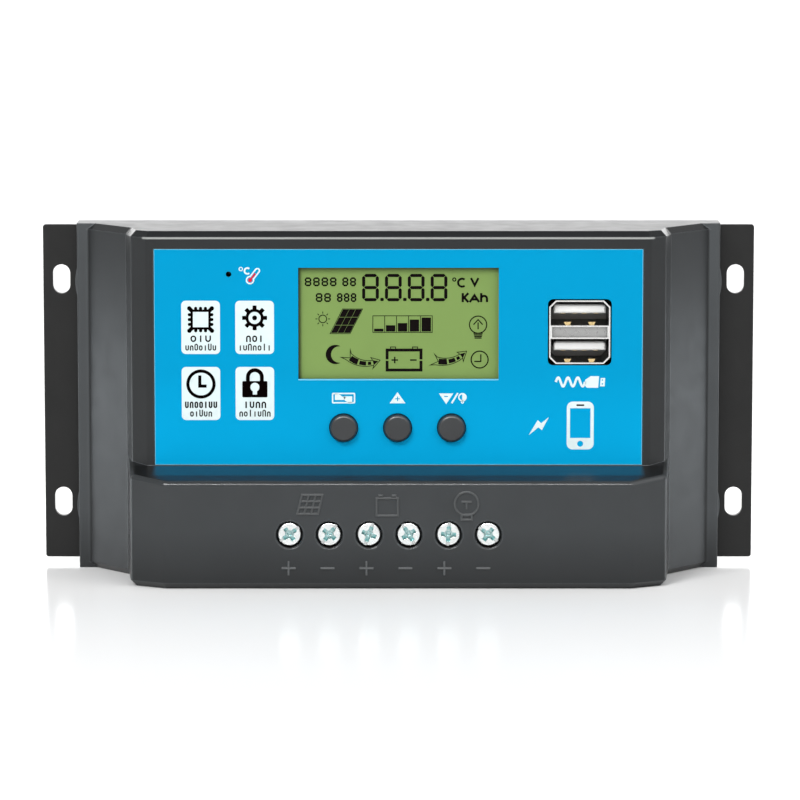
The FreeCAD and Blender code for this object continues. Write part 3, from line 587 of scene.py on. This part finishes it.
def make_finishes():
    """A material for each of the record's material slots, and a darker zinc for the clamps, which
    paints the shade they lie in inside the terminal holes.
    """
    return {
        "plate_black": enamelled("plate_black", PLATE_BLACK),
        "screw_black": metal("screw_black", (0.08, 0.08, 0.085), 0.35),
        "case_black": case_plastic("case_black", CASE_BLACK, SIGN_GREY),
        "film_blue": film("film_blue", FILM_BLUE),
        "sensor_bead": moulded("sensor_bead", (0.02, 0.02, 0.02), 0.15),
        "socket_steel": socket_steel("socket_steel", (0.80, 0.80, 0.79)),
        "socket_white": moulded("socket_white", (0.66, 0.66, 0.65), 0.4, wear_and_sheen=0.05),
        "contact_gold": metal("contact_gold", (0.83, 0.62, 0.3), 0.2),
        "display_glass": display_face("display_glass", DISPLAY_GREEN),
        "light_guide": moulded("light_guide", (0.5, 0.68, 0.2), 0.2),
        "frame_white": moulded("frame_white", (0.82, 0.82, 0.8), 0.45),
        "tinned_steel": metal("tinned_steel", STEEL, 0.3),
        "board_green": circuit_board("board_green", (0.02, 0.14, 0.06)),
        "post_nylon": moulded("post_nylon", (0.78, 0.76, 0.7), 0.4),
        "header_black": moulded("header_black", (0.02, 0.02, 0.02), 0.45),
        "chip_black": moulded("chip_black", (0.018, 0.018, 0.019), 0.5),
        "can_aluminium": metal("can_aluminium", (0.75, 0.75, 0.76), 0.22, (9, 1, 9)),
        "choke_ferrite": moulded("choke_ferrite", (0.3, 0.12, 0.05), 0.3),
        "pad_grey": rubbery("pad_grey", (0.45, 0.47, 0.5)),
        "spacer_brass": metal("spacer_brass", (0.78, 0.6, 0.3), 0.25),
        "block_grey": moulded("block_grey", (0.05, 0.05, 0.052), 0.45),
        "contact_brass": metal("contact_brass", (0.74, 0.7, 0.62), 0.3),
        "button_grey": moulded("button_grey", (0.022, 0.024, 0.026), 0.33, 0.000004, 2600),
        # painted shade: the clamps are made dark as they lie in shade in the terminal holes
        "clamp_zinc_shaded": metal("clamp_zinc_shaded", (0.10, 0.11, 0.115), 0.5),
        "zinc_steel": screw_zinc("zinc_steel", (0.88, 0.90, 0.89), (0.25, 0.5, 0.5)),
    }


def dress_cad_nodes(finishes):
    """Gives each CAD node its finish, and smooth shading between its edges."""
    for entry in frame["record"]["subparts"]:
        node = frame["nodes"][entry["node"]]
        node.data.materials.clear()
        # the clamps get the dark zinc that paints their shade
        finish = "clamp_zinc_shaded" if entry["node"].startswith("wire_clamp") else entry["material_slot"]
        node.data.materials.append(finishes[finish])
        node.data.shade_smooth()
        node.data.set_sharp_from_angle(angle=math.radians(28))


# ---- flat drawing, in millimetres ----
def arc(x, z, radius, start, end, steps=24):
    """Points on an arc, from start to end in degrees, anticlockwise from +X."""
    angles = [math.radians(start + (end - start) * i / steps) for i in range(steps + 1)]
    return [(x + radius * math.cos(a), z + radius * math.sin(a)) for a in angles]


def disc(x, z, radius, steps=32):
    """A round loop."""
    return arc(x, z, radius, 0, 360 - 360 / steps, steps - 1)


def ring(x, z, radius, width, steps=40):
    """A disc with a hole, radius to the outside."""
    return [disc(x, z, radius, steps), disc(x, z, radius - width, steps)]


def rectangle(x0, x1, z0, z1):
    return [(x0, z0), (x1, z0), (x1, z1), (x0, z1)]


def rounded_rectangle(x0, x1, z0, z1, radius, steps=6):
    return (arc(x1 - radius, z0 + radius, radius, -90, 0, steps)
            + arc(x1 - radius, z1 - radius, radius, 0, 90, steps)
            + arc(x0 + radius, z1 - radius, radius, 90, 180, steps)
            + arc(x0 + radius, z0 + radius, radius, 180, 270, steps))


def stroke(points, width, closed=False):
    """The outline of a line with mitred corners: one loop, or two if the line is closed."""
    sides = ([], [])
    last = len(points) - 1
    for i, (x, z) in enumerate(points):
        here = Vector((x, z))
        before = here - Vector(points[i - 1]) if closed or i > 0 else None
        after = Vector(points[(i + 1) % len(points)]) - here if closed or i < last else None
        before = (before or after).normalized()
        after = (after or before).normalized()
        normals = [Vector((-v.y, v.x)) for v in (before, after)]
        mitre = (normals[0] + normals[1]) * (width / 2 / (1 + normals[0].dot(normals[1])))
        sides[0].append(tuple(here + mitre))
        sides[1].append(tuple(here - mitre))
    if closed:
        return sorted(sides, key=lambda side: -abs(area(side)))
    return [sides[0] + sides[1][::-1]]


def area(loop):
    return sum(a[0] * b[1] - b[0] * a[1] for a, b in zip(loop, loop[1:] + loop[:1])) / 2


def moved(loops, x, z, turn=0.0, scale=1.0):
    """Loops scaled and turned about their origin, then moved."""
    c, s = math.cos(math.radians(turn)) * scale, math.sin(math.radians(turn)) * scale
    return [[(x + px * c - pz * s, z + px * s + pz * c) for px, pz in loop] for loop in loops]


def add_plate(mesh, loops, back, front):
    """A closed flat plate. The first loop is its outline, the others are holes."""
    triangles = tessellate_polygon([[Vector((x, z, 0)) for x, z in loop] for loop in loops])
    layers = [[mesh.verts.new((x * MM, y, z * MM)) for loop in loops for x, z in loop]
              for y in (front, back)]
    for corners in triangles:
        for layer in layers:
            mesh.faces.new([layer[i] for i in corners])
    start = 0
    for loop in loops:
        count = len(loop)
        for i in range(count):
            a, b = start + i, start + (i + 1) % count
            mesh.faces.new([layers[0][a], layers[0][b], layers[1][b], layers[1][a]])
        start += count


INK_RISE = 0.00003          # metres that a layer of ink stands over the one below
INK_SUNK = 0.00001          # and that it reaches into the surface


def print_on(name, plates, surface, material, layer=1):
    """Ink plates on a surface that faces the front. A higher layer lies over a lower one."""
    mesh = bmesh.new()
    for loops in plates:
        add_plate(mesh, loops, surface + INK_SUNK, surface - INK_RISE * layer)
    bmesh.ops.recalc_face_normals(mesh, faces=mesh.faces)
    data = bpy.data.meshes.new(name)
    mesh.to_mesh(data)
    mesh.free()
    data.materials.append(material)
    piece = bpy.data.objects.new(name, data)
    bpy.context.scene.collection.objects.link(piece)
    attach(piece, "root")


# ---- glyphs, each a list of plates about its own origin ----
def place(plates, x, z, turn=0.0, scale=1.0):
    return [moved(loops, x, z, turn, scale) for loops in plates]


def greek(count, x, z, height, width, tall=(), first=0):
    """A word of marks that only look like print: rounds, arches, cups and stems in turn.

    x is the word's middle and z its foot. The marks numbered in tall stand higher.
    """
    line, pitch = 0.22 * height, width / (count - 0.22)
    half = (0.78 * pitch - line) / 2
    left = x - width / 2 + half + line / 2
    plates = []
    for i in range(count):
        at = left + i * pitch
        top = z + height * (1.32 if i in tall else 1.0) - line / 2
        foot = z + line / 2
        crown, cup = arc(at, top - half, half, 0, 180, 8), arc(at, foot + half, half, 180, 360, 8)
        kind = (first + 3 * i + i // 3) % 4
        if kind == 0:
            plates.append(stroke(crown + cup, line, closed=True))
        elif kind == 1:
            plates.append(stroke([(at + half, z)] + crown + [(at - half, z)], line))
        elif kind == 2:
            edge = top + line / 2
            plates.append(stroke([(at - half, edge)] + cup + [(at + half, edge)], line))
        else:
            plates.append(stroke([(at, z), (at, top + line / 2)], line))
    return plates


def chip_glyph():
    """A square frame with pads along its sides and an ear at each corner."""
    half, inner, out = 2.16, 1.66, 2.42
    plates = [[rectangle(-half, half, -half, half), rectangle(-inner, inner, -inner, inner)]]
    for turn in (0, 90, 180, 270):
        side = []
        for x in (-1.05, 0.0, 1.05):
            side.append([[(x + 0.34, half)] + arc(x, out, 0.34, 0, 180, 10) + [(x - 0.34, half)]])
        ear = [(half, half), (half, half - 0.6)] + arc(out, out, 0.47, -70, 160, 14)
        side.append([ear + [(half - 0.6, half)]])
        plates += [moved(loops, 0, 0, turn) for loops in side]
    return plates


def gear_glyph():
    """An eight-toothed wheel with a dot in its middle."""
    root, tip, half = 1.95, 2.68, 0.43
    outline = []
    for i in range(8):
        at = 45 * i
        low, high = (math.degrees(math.asin(half / r)) for r in (root, tip))
        outline += arc(0, 0, tip, at - high, at + high, 3)
        outline += arc(0, 0, root, at + low, at + 45 - low, 4)
    return [[outline, disc(0, 0, 1.32)], [disc(0, 0, 0.52)]]


def clock_glyph(radius, width, hands):
    """A clock face whose hands are one bent line."""
    return [ring(0, 0, radius, width, 56), stroke(hands, width)]


def tile_clock():
    return clock_glyph(3.15, 0.68, [(-0.25, 1.85), (-0.25, -0.45), (1.2, -0.45)])


def padlock_glyph():
    """Body with a keyhole, and the shackle standing on it."""
    keyhole = arc(0, -0.05, 0.98, -62, 242, 28) + [(-0.46, -1.65), (0.46, -1.65)]
    body = [rounded_rectangle(-2.7, 2.7, -2.25, 1.27, 0.25), keyhole]
    shackle = [(-1.5, 1.27)] + arc(0, 2.15, 1.5, 180, 0, 24) + [(1.5, 1.27)]
    return [body, stroke(shackle, 0.82)]


def panel_cells(width, height, lean, gap):
    """The nine dark cells of a leaning panel whose lower left corner is the origin."""
    cells = []
    for row in range(3):
        for column in range(3):
            low, high = (height * (row + s) / 3 for s in (gap, 1 - gap))
            left, right = (width * (column + s) / 3 for s in (gap, 1 - gap))
            lean_low, lean_high = lean * low / height, lean * high / height
            cells.append([[(left + lean_low, low), (right + lean_low, low),
                           (right + lean_high, high), (left + lean_high, high)]])
    return cells


def sun_glyph():
    """A ring with eight rays."""
    rays = [moved(stroke([(1.14, 0), (1.58, 0)], 0.17), 0, 0, 45 * i) for i in range(8)]
    return [ring(0, 0, 0.92, 0.19)] + rays


def lamp_glyph(radius, width):
    """A round bulb with an arrow inside it, over a threaded base."""
    plates = [ring(0, 0, radius, width)]
    top = 0.5 * radius
    plates.append(stroke([(-top, 0.02), (0, top + 0.1), (top, 0.02)], width))
    plates.append(stroke([(0, -top), (0, 0.25 * radius)], width))
    for i in range(4):
        z = -radius + 0.1 - 0.34 * i
        half = (0.5 - 0.04 * i) * radius
        plates.append(stroke([(-half, z), (half, z)], 0.24))
    return plates


def moon_glyph():
    """A crescent: a disc less a smaller one that lies to its right."""
    radius, bite, shift = 2.08, 1.78, 0.84
    x = (shift ** 2 + radius ** 2 - bite ** 2) / (2 * shift)
    z = math.sqrt(radius ** 2 - x ** 2)
    outer = math.degrees(math.atan2(z, x))
    inner = math.degrees(math.atan2(z, x - shift))
    return [[arc(0, 0, radius, outer, 360 - outer, 32)
             + arc(shift, 0, bite, 360 - inner, inner, 28)[1:-1]]]


def bent_arrow(centre, radius, start, end, half, width):
    """An outlined arrow along an arc, with a split tail and dashes inside."""
    def at(angle, offset):
        a = math.radians(angle)
        return (centre[0] + (radius + offset) * math.cos(a),
                centre[1] + (radius + offset) * math.sin(a))

    sweep = end - start
    neck = end - 0.22 * sweep
    steps = 8
    sides = []
    for sign in (1, -1):
        side = [at(start - 0.12 * sweep, sign * half * 2.1)]
        for i in range(steps + 1):
            share = i / steps
            side.append(at(start + (neck - start) * share, sign * half * (1.45 - 0.55 * share)))
        side.append(at(neck - 0.04 * sweep, sign * half * 2.0))
        sides.append(side)
    outline = sides[0] + [at(end, 0)] + sides[1][::-1] + [at(start + 0.06 * sweep, 0)]
    plates = [stroke(outline, width, closed=True)]
    marks = ((0.07, 0.32, 1.0), (0.37, 0.57, 0.72), (0.62, 0.72, 0.55))
    for low, high, share in marks:
        a, b = start + sweep * low, start + sweep * high
        fat = share * half
        loop = [at(a + (b - a) * i / 4, fat) for i in range(5)]
        loop += [at(b - (b - a) * i / 4, -fat) for i in range(5)]
        plates.append([loop])
    plates.append([[at(neck, 0.9 * half), at(end - 0.06 * sweep, 0), at(neck, -0.9 * half)]])
    return plates


def battery_glyph(width, height, line):
    """A battery's outline, broken at the middle of its sides, with its poles and their signs."""
    plates = []
    x, z = width / 2 - line / 2, height / 2 - line / 2
    gap, sign_x, arm, thin = 0.15, 2, 0.7, 0.3
    for sign in (1, -1):
        plates.append(stroke([(-x, sign * gap), (-x, sign * z), (x, sign * z), (x, sign * gap)],
                             line))
    top, pole = height / 2, height / 2 + 0.35
    for sign in (1, -1):
        left, right = (sign * 0.3 * width + s * 0.55 for s in (-1, 1))
        plates.append(stroke([(left, top), (left, pole), (right, pole), (right, top)], 0.18))
        plates.append(stroke([(sign * sign_x - arm, 0), (sign * sign_x + arm, 0)], thin))
    for end in (1, -1):
        plates.append(stroke([(-sign_x, end * thin / 2), (-sign_x, end * arm)], thin))
    return plates


def seven_segment(width, height, line, gap=0.07):
    """A digit with all its segments, about its lower left corner."""
    half_line, bar = line / 2, width - line
    tall = (height - line) / 2

    def bar_shape(length):
        end = length / 2 - gap
        return [(-end, 0), (-end + half_line, half_line), (end - half_line, half_line),
                (end, 0), (end - half_line, -half_line), (-end + half_line, -half_line)]

    plates = []
    for i in range(3):
        plates.append(moved([bar_shape(bar)], width / 2, half_line + i * tall))
    for x in (half_line, width - half_line):
        for i in range(2):
            plates.append(moved([bar_shape(tall)], x, half_line + (i + 0.5) * tall, 90))
    return plates


def degree_c(height, line):
    """A degree ring and an open round C, about the C's middle."""
    r = height / 2
    return [stroke(arc(0, 0, r - line / 2, 50, 310, 20), line),
            ring(-r - 0.6, r - 0.4, 0.46, 0.55 * line, 20)]


def unit_v(width, height, line):
    """The sign V."""
    foot = line - height / 2
    return [stroke([(-width / 2, height / 2), (0, foot), (width / 2, height / 2)], line)]


def unit_kah(height, line):
    """The signs k, A and h, about the gap between the last two."""
    low, top = -height / 2, height / 2
    k_left, k_right = -3.45, -2.25
    signs = [stroke([(k_left, low), (k_left, top)], line),
             stroke([(k_right, top), (k_left + 0.3, 0.0), (k_right, low)], line)]
    a_left, a_right = -1.95, 0.05
    middle, bar = (a_left + a_right) / 2, low + 0.3 * height
    signs += [stroke([(a_left, low), (middle, top - line), (a_right, low)], line),
              stroke([(a_left + 0.5, bar), (a_right - 0.5, bar)], line)]
    h_left, h_right = 0.5, 1.75
    shoulder = arc((h_left + h_right) / 2, -0.25, (h_right - h_left) / 2, 150, 0, 8)
    signs += [stroke([(h_left, low), (h_left, top)], line),
              stroke(shoulder + [(h_right, low)], line)]
    return signs


def triangle_up(width, height):
    """A triangle with a plus cut out of it."""
    plus, thin = 0.5, 0.1
    cross = [(-thin, -plus), (thin, -plus), (thin, -thin), (plus, -thin), (plus, thin),
             (thin, thin), (thin, plus), (-thin, plus), (-thin, thin), (-plus, thin),
             (-plus, -thin), (-thin, -thin)]
    low = 0.4 * height
    return [[[(-width / 2, -low), (width / 2, -low), (0, height - low)], cross]]


def triangle_down(width, height):
    """A triangle with a minus cut out of it."""
    low = 0.4 * height
    return [[[(-width / 2, low), (0, low - height), (width / 2, low)],
             rectangle(-0.42, 0.42, 0.15, 0.35)]]


def menu_glyph():
    """A frame around a cell that a flash divides."""
    frame_loops = [rounded_rectangle(-2.5, 2.5, -1.15, 1.15, 0.25, 3),
                   rounded_rectangle(-2.2, 2.2, -0.85, 0.85, 0.12, 3)]
    left = [(-1.85, 0.95), (-1.2, 0.95), (-0.15, 0.3), (0.45, 0.3), (0.15, -0.4), (-1.85, -0.4)]
    right = [(0.0, 0.4), (0.3, 0.4), (0.6, 0.4), (1.85, 0.4), (1.85, -0.95), (0.95, -0.95),
             (0.2, -0.45)]
    return [frame_loops, [left], [right]]


def small_lamp():
    """An outlined bulb, half of it filled, over a small round base."""
    cut = arc(-0.04, 0, 0.6, 90, 270, 12)
    return [[disc(0, 0, 0.92), cut], [disc(0, -1.05, 0.34, 16), disc(0, -1.1, 0.1, 8)]]


def bolt_glyph():
    """A flash."""
    return [[[(-2.2, -1.95), (-0.3, 1.3), (0.45, 0.6), (2.1, 1.95), (0.6, -0.9), (-0.15, -0.3)]]]


def phone_ear():
    return rounded_rectangle(-0.85, 0.85, 4.25, 4.6, 0.14, 3)


def phone_glyph():
    """A hand-held telephone: a rounded body with its ear, screen and button cut out."""
    body = rounded_rectangle(-2.9, 2.9, -5.2, 5.2, 1.3, 8)
    screen = rectangle(-2.2, 2.2, -2.7, 3.75)
    return [[body, screen, phone_ear(), disc(0, -3.95, 0.65)]]


def plug_glyph():
    """A wavy lead that runs into a plug."""
    steps, waves = 60, 3
    lead = [(-5.2 + 6.3 * i / steps, 0.95 * math.sin(2 * math.pi * waves * i / steps))
            for i in range(steps + 1)]
    body = [(1.1, -0.85), (1.5, -1.25), (3.9, -1.25), (4.1, 1.25), (2.3, 1.25), (1.1, 0.45)]
    shell = [(4.3, -0.95), (5.3, -0.95), (5.4, 0.85), (4.45, 0.85)]
    holes = [rectangle(4.65, 4.95, s * 0.42 - 0.15, s * 0.42 + 0.15) for s in (-1, 1)]
    return [stroke(lead, 0.5), [body], [shell] + holes]


def thermometer_glyph():
    """An outlined thermometer that leans right, and the fluid inside it."""
    bulb, tube, length = 0.88, 0.52, 3.0
    start = math.degrees(math.asin(tube / bulb))
    glass = arc(0, 0, bulb, 90 + start, 450 - start, 28) + arc(0, length, tube, 0, 180, 12)
    drop = disc(0, 0, 0.5, 20)
    column = rectangle(-0.22, 0.22, 0.44, 2.1)
    return [stroke(glass, 0.34, closed=True)], [[drop], [column]]


# ---- what is printed on the film ----
def film_frame():
    """The film's front surface, in metres, and its edges in millimetres."""
    low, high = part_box("printed_film")
    return low[1], low[0] / MM, high[0] / MM, low[2] / MM, high[2] / MM


WINDOW_SIDE, WINDOW_FOOT, WINDOW_HEAD = 2.5, 3.0, 2.8       # millimetres of glass under the case


def window_edges():
    """The display's window: the glass less the margins that the case covers."""
    low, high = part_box("display_glass")
    return (low[0] / MM + WINDOW_SIDE, high[0] / MM - WINDOW_SIDE,
            low[2] / MM + WINDOW_FOOT, high[2] / MM - WINDOW_HEAD)


def centre_of(node):
    """The middle of a node's box, seen from the front, in millimetres."""
    low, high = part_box(node)
    return (low[0] + high[0]) / 2 / MM, (low[2] + high[2]) / 2 / MM


def make_film_edge_highlights(material):
    """Painted highlights on the film's cut edges, around it and under the display's window."""
    surface, left, right, bottom, top = film_frame()
    line = 0.1
    # painted highlight around the film's edge
    border_highlight = [rectangle(left, right, bottom, top),
              rectangle(left + line, right - line, bottom + line, top - line)]
    x0, x1, z0, _ = window_edges()
    # painted highlight along the window's lower edge
    window_lip_highlight = [rectangle(x0, x1, z0 - 0.28, z0 - 0.04)]
    print_on("film_edge_highlights", [border_highlight, window_lip_highlight], surface, material)


TILE_WIDTH, TILE_HEIGHT, TILE_RADIUS = 8.3, 11.5, 0.95
TILE_COLUMNS = (9.97, 21.55)        # tile centres from the film's left edge
TILE_ROWS = (29.75, 15.45)          # and from its bottom edge
FIRST_WORD, FIRST_HEIGHT = 3.15, 1.4        # below a tile's middle, and the marks' height
SECOND_WORD, SECOND_HEIGHT = 5.0, 1.12


def make_tiles(white, black):
    """Four white tiles, each with a picture over two words of marks, given as (marks, width)."""
    surface, left, _, bottom, _ = film_frame()
    tiles = ((chip_glyph(), 1.7, (3, 4.4), (7, 6.6)), (gear_glyph(), 2.06, (3, 3.7), (7, 7.0)),
             (tile_clock(), 2.06, (7, 6.9), (5, 4.7)), (padlock_glyph(), 1.42, (4, 4.8), (7, 6.7)))
    plates, marks = [], []
    for i, (glyph, up, first, second) in enumerate(tiles):
        x = left + TILE_COLUMNS[i % 2]
        z = bottom + TILE_ROWS[i // 2]
        plates.append([rounded_rectangle(x - TILE_WIDTH / 2, x + TILE_WIDTH / 2,
                                         z - TILE_HEIGHT / 2, z + TILE_HEIGHT / 2, TILE_RADIUS)])
        marks += place(glyph, x, z + up)
        marks += greek(first[0], x, z - FIRST_WORD, FIRST_HEIGHT, first[1], first=i)
        marks += greek(second[0], x, z - SECOND_WORD, SECOND_HEIGHT, second[1], (2, 5), i + 2)
    print_on("feature_tiles", plates, surface, white)
    print_on("feature_signs", marks, surface, black, layer=2)


def make_key_signs(white):
    """A sign over each button."""
    surface = film_frame()[0]
    up = 6.45
    places = {name: centre_of(f"button_cap_{name}") for name in ("menu", "up", "down")}
    plates = place(menu_glyph(), places["menu"][0], places["menu"][1] + up)
    plates += place(triangle_up(3.4, 2.4), places["up"][0], places["up"][1] + up - 0.15)
    x, z = places["down"][0], places["down"][1] + up
    plates += place(triangle_down(3.1, 2.3), x - 1.15, z + 0.1)
    plates.append(stroke([(x + 0.05, z - 1.1), (x + 1.35, z + 1.1)], 0.36))
    plates += place(small_lamp(), x + 2.35, z + 0.2)
    print_on("key_signs", plates, surface, white)


def make_socket_signs(white, black):
    """A plug, a telephone and a flash under the sockets."""
    surface = film_frame()[0]
    x, z = centre_of("socket_shell")
    phone_at = (x + 0.2, z - 20.2)
    plates = place(plug_glyph(), x + 0.1, z - 10.75)
    plates += place(phone_glyph(), *phone_at)
    plates += place(bolt_glyph(), x - 8.65, z - 20.3)
    print_on("socket_signs", plates, surface, white)
    print_on("phone_ear", place([[phone_ear()]], *phone_at), surface, black)


def make_sensor_sign(white, red):
    """A thermometer beside the sensor's hole."""
    surface = film_frame()[0]
    x, z = centre_of("temperature_sensor")
    at, lean, scale = (x + 4.6, z - 1.25), -38, 0.86
    glass, fluid = (place(plates, *at, lean, scale) for plates in thermometer_glyph())
    degree = place(degree_c(1.62, 0.36), x + 4.05, z + 0.72)
    print_on("thermometer_glass", glass + degree, surface, white)
    print_on("thermometer_fluid", fluid, surface, red)


SOCKET_PITCH = 8.0          # millimetres between the two sockets
SPRING_DEPTH = 0.0009       # metres from the sockets' mouth back to the springs' crests


def make_socket_springs(brass):
    """The crests of the springs that show at the foot of each opening."""
    low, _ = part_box("socket_shell")
    x, _ = centre_of("socket_shell")
    floor_z = low[2] / MM + 0.25
    foot, head, tall = 0.45, 0.78, 0.75
    tabs = []
    for i in range(2):
        for side in (-1, 1):
            at, z = x + side * 2.6, floor_z + SOCKET_PITCH * i
            tabs.append([[(at - foot, z), (at + foot, z), (at + head, z + tall),
                          (at - head, z + tall)]])
    print_on("socket_springs", tabs, low[1] + SPRING_DEPTH, brass)


# ---- what the display shows, from the lower left corner of what its window shows ----
def main_digits():
    """Four digits with the points between them."""
    first_x, foot, pitch = 13.7, 16.66, 4.9
    plates = []
    for i in range(4):
        x = first_x + pitch * i
        plates += place(seven_segment(3.6, 5.9, 0.68), x, foot)
        if i < 3:
            plates.append([rounded_rectangle(x + 3.9, x + 4.65, foot + 0.04, foot + 0.74, 0.2, 3)])
    return plates


def small_digits():
    """Four groups of small digits, each from its left end, foot, count, digit width and pitch."""
    groups = ((1.4, 19.9, 4, 1.42, 1.8), (9.45, 19.9, 2, 1.3, 1.65),
              (3.75, 16.5, 2, 1.45, 1.8), (8.3, 16.5, 3, 1.2, 1.48))
    plates = []
    for left, foot, count, width, pitch in groups:
        for i in range(count):
            plates += place(seven_segment(width, 1.92, 0.36, 0.01), left + pitch * i, foot)
    return plates


def units():
    """Degrees C, V and kAh."""
    upper = 20.67
    return (place(degree_c(2.15, 0.44), 35.15, upper) + place(unit_v(1.6, 2.0, 0.46), 37.85, upper)
            + place(unit_kah(1.95, 0.48), 38.75, 17.45))


def charge_bars():
    """Five framed cells, filled higher and higher."""
    cell, margin, foot, top = 2.55, 0.27, 9.93, 13.52
    left = 16.0
    plates = [stroke(rectangle(left, left + 5 * cell, foot, top), 0.14, closed=True)]
    for i, fill in enumerate((0.6, 1.35, 1.82, 2.58, 3.0)):
        x = left + cell * i
        plates.append([rectangle(x + margin, x + cell - margin, foot + 0.2, foot + 0.2 + fill)])
        if i:
            plates.append([rectangle(x - 0.07, x + 0.07, foot + 0.1, top - 0.1)])
    return plates


def display_pictures():
    """Sun, panel, bars, lamp, moon, battery with an arrow on either side, and clock."""
    plates = place(sun_glyph(), 5.25, 12.85) + place(panel_cells(4.1, 5.15, 2.62, 0.026), 6.98, 9.78)
    panel = [(6.8, 9.66), (11.1, 9.66), (13.82, 15.0), (9.5, 15.0)]
    plates.append(stroke(panel, 0.12, closed=True))
    plates += charge_bars()
    plates += place(lamp_glyph(1.97, 0.24), 38.6, 11.6)
    plates += place(moon_glyph(), 7.95, 5.15)
    plates += bent_arrow((14.71, 9.07), 5.87, 228, 299, 0.6, 0.14)
    plates += bent_arrow((31.2, 10.05), 6.48, 256, 320, 0.6, 0.14)
    plates += place(battery_glyph(7.9, 4.95, 0.62), 22.7, 3.95)
    hands = [(0.25, 1.15), (0.25, -0.4), (-1.15, -0.4)]
    return plates + place(clock_glyph(1.95, 0.26, hands), 38.95, 4.05)


def make_display(dark):
    """All segments lit."""
    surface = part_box("display_glass")[0][1]
    left, _, foot, _ = window_edges()
    for name, plates in (("display_digits", main_digits()), ("display_units", small_digits() + units()),
                         ("display_signs", display_pictures())):
        print_on(name, place(plates, left, foot), surface, dark)


def main():
    make_camera()
    make_light()
    make_floor()
    finishes = make_finishes()
    dress_cad_nodes(finishes)
    white = ink("ink_white", (0.61, 0.71, 0.72), 0.03)
    black = ink("ink_black", (0.002, 0.001, 0.001), 0.0)
    red = ink("ink_red", (0.55, 0.01, 0.03))
    dark = ink("display_dark", (0.004, 0.002, 0.002), 0.04)
    make_tiles(white, black)
    make_key_signs(white)
    make_socket_signs(white, black)
    make_sensor_sign(white, red)
    # painted highlights on the film's edges
    make_film_edge_highlights(ink("film_edge_highlight", (0.16, 0.5, 0.68)))
    make_socket_springs(finishes["contact_gold"])
    make_display(dark)


main()
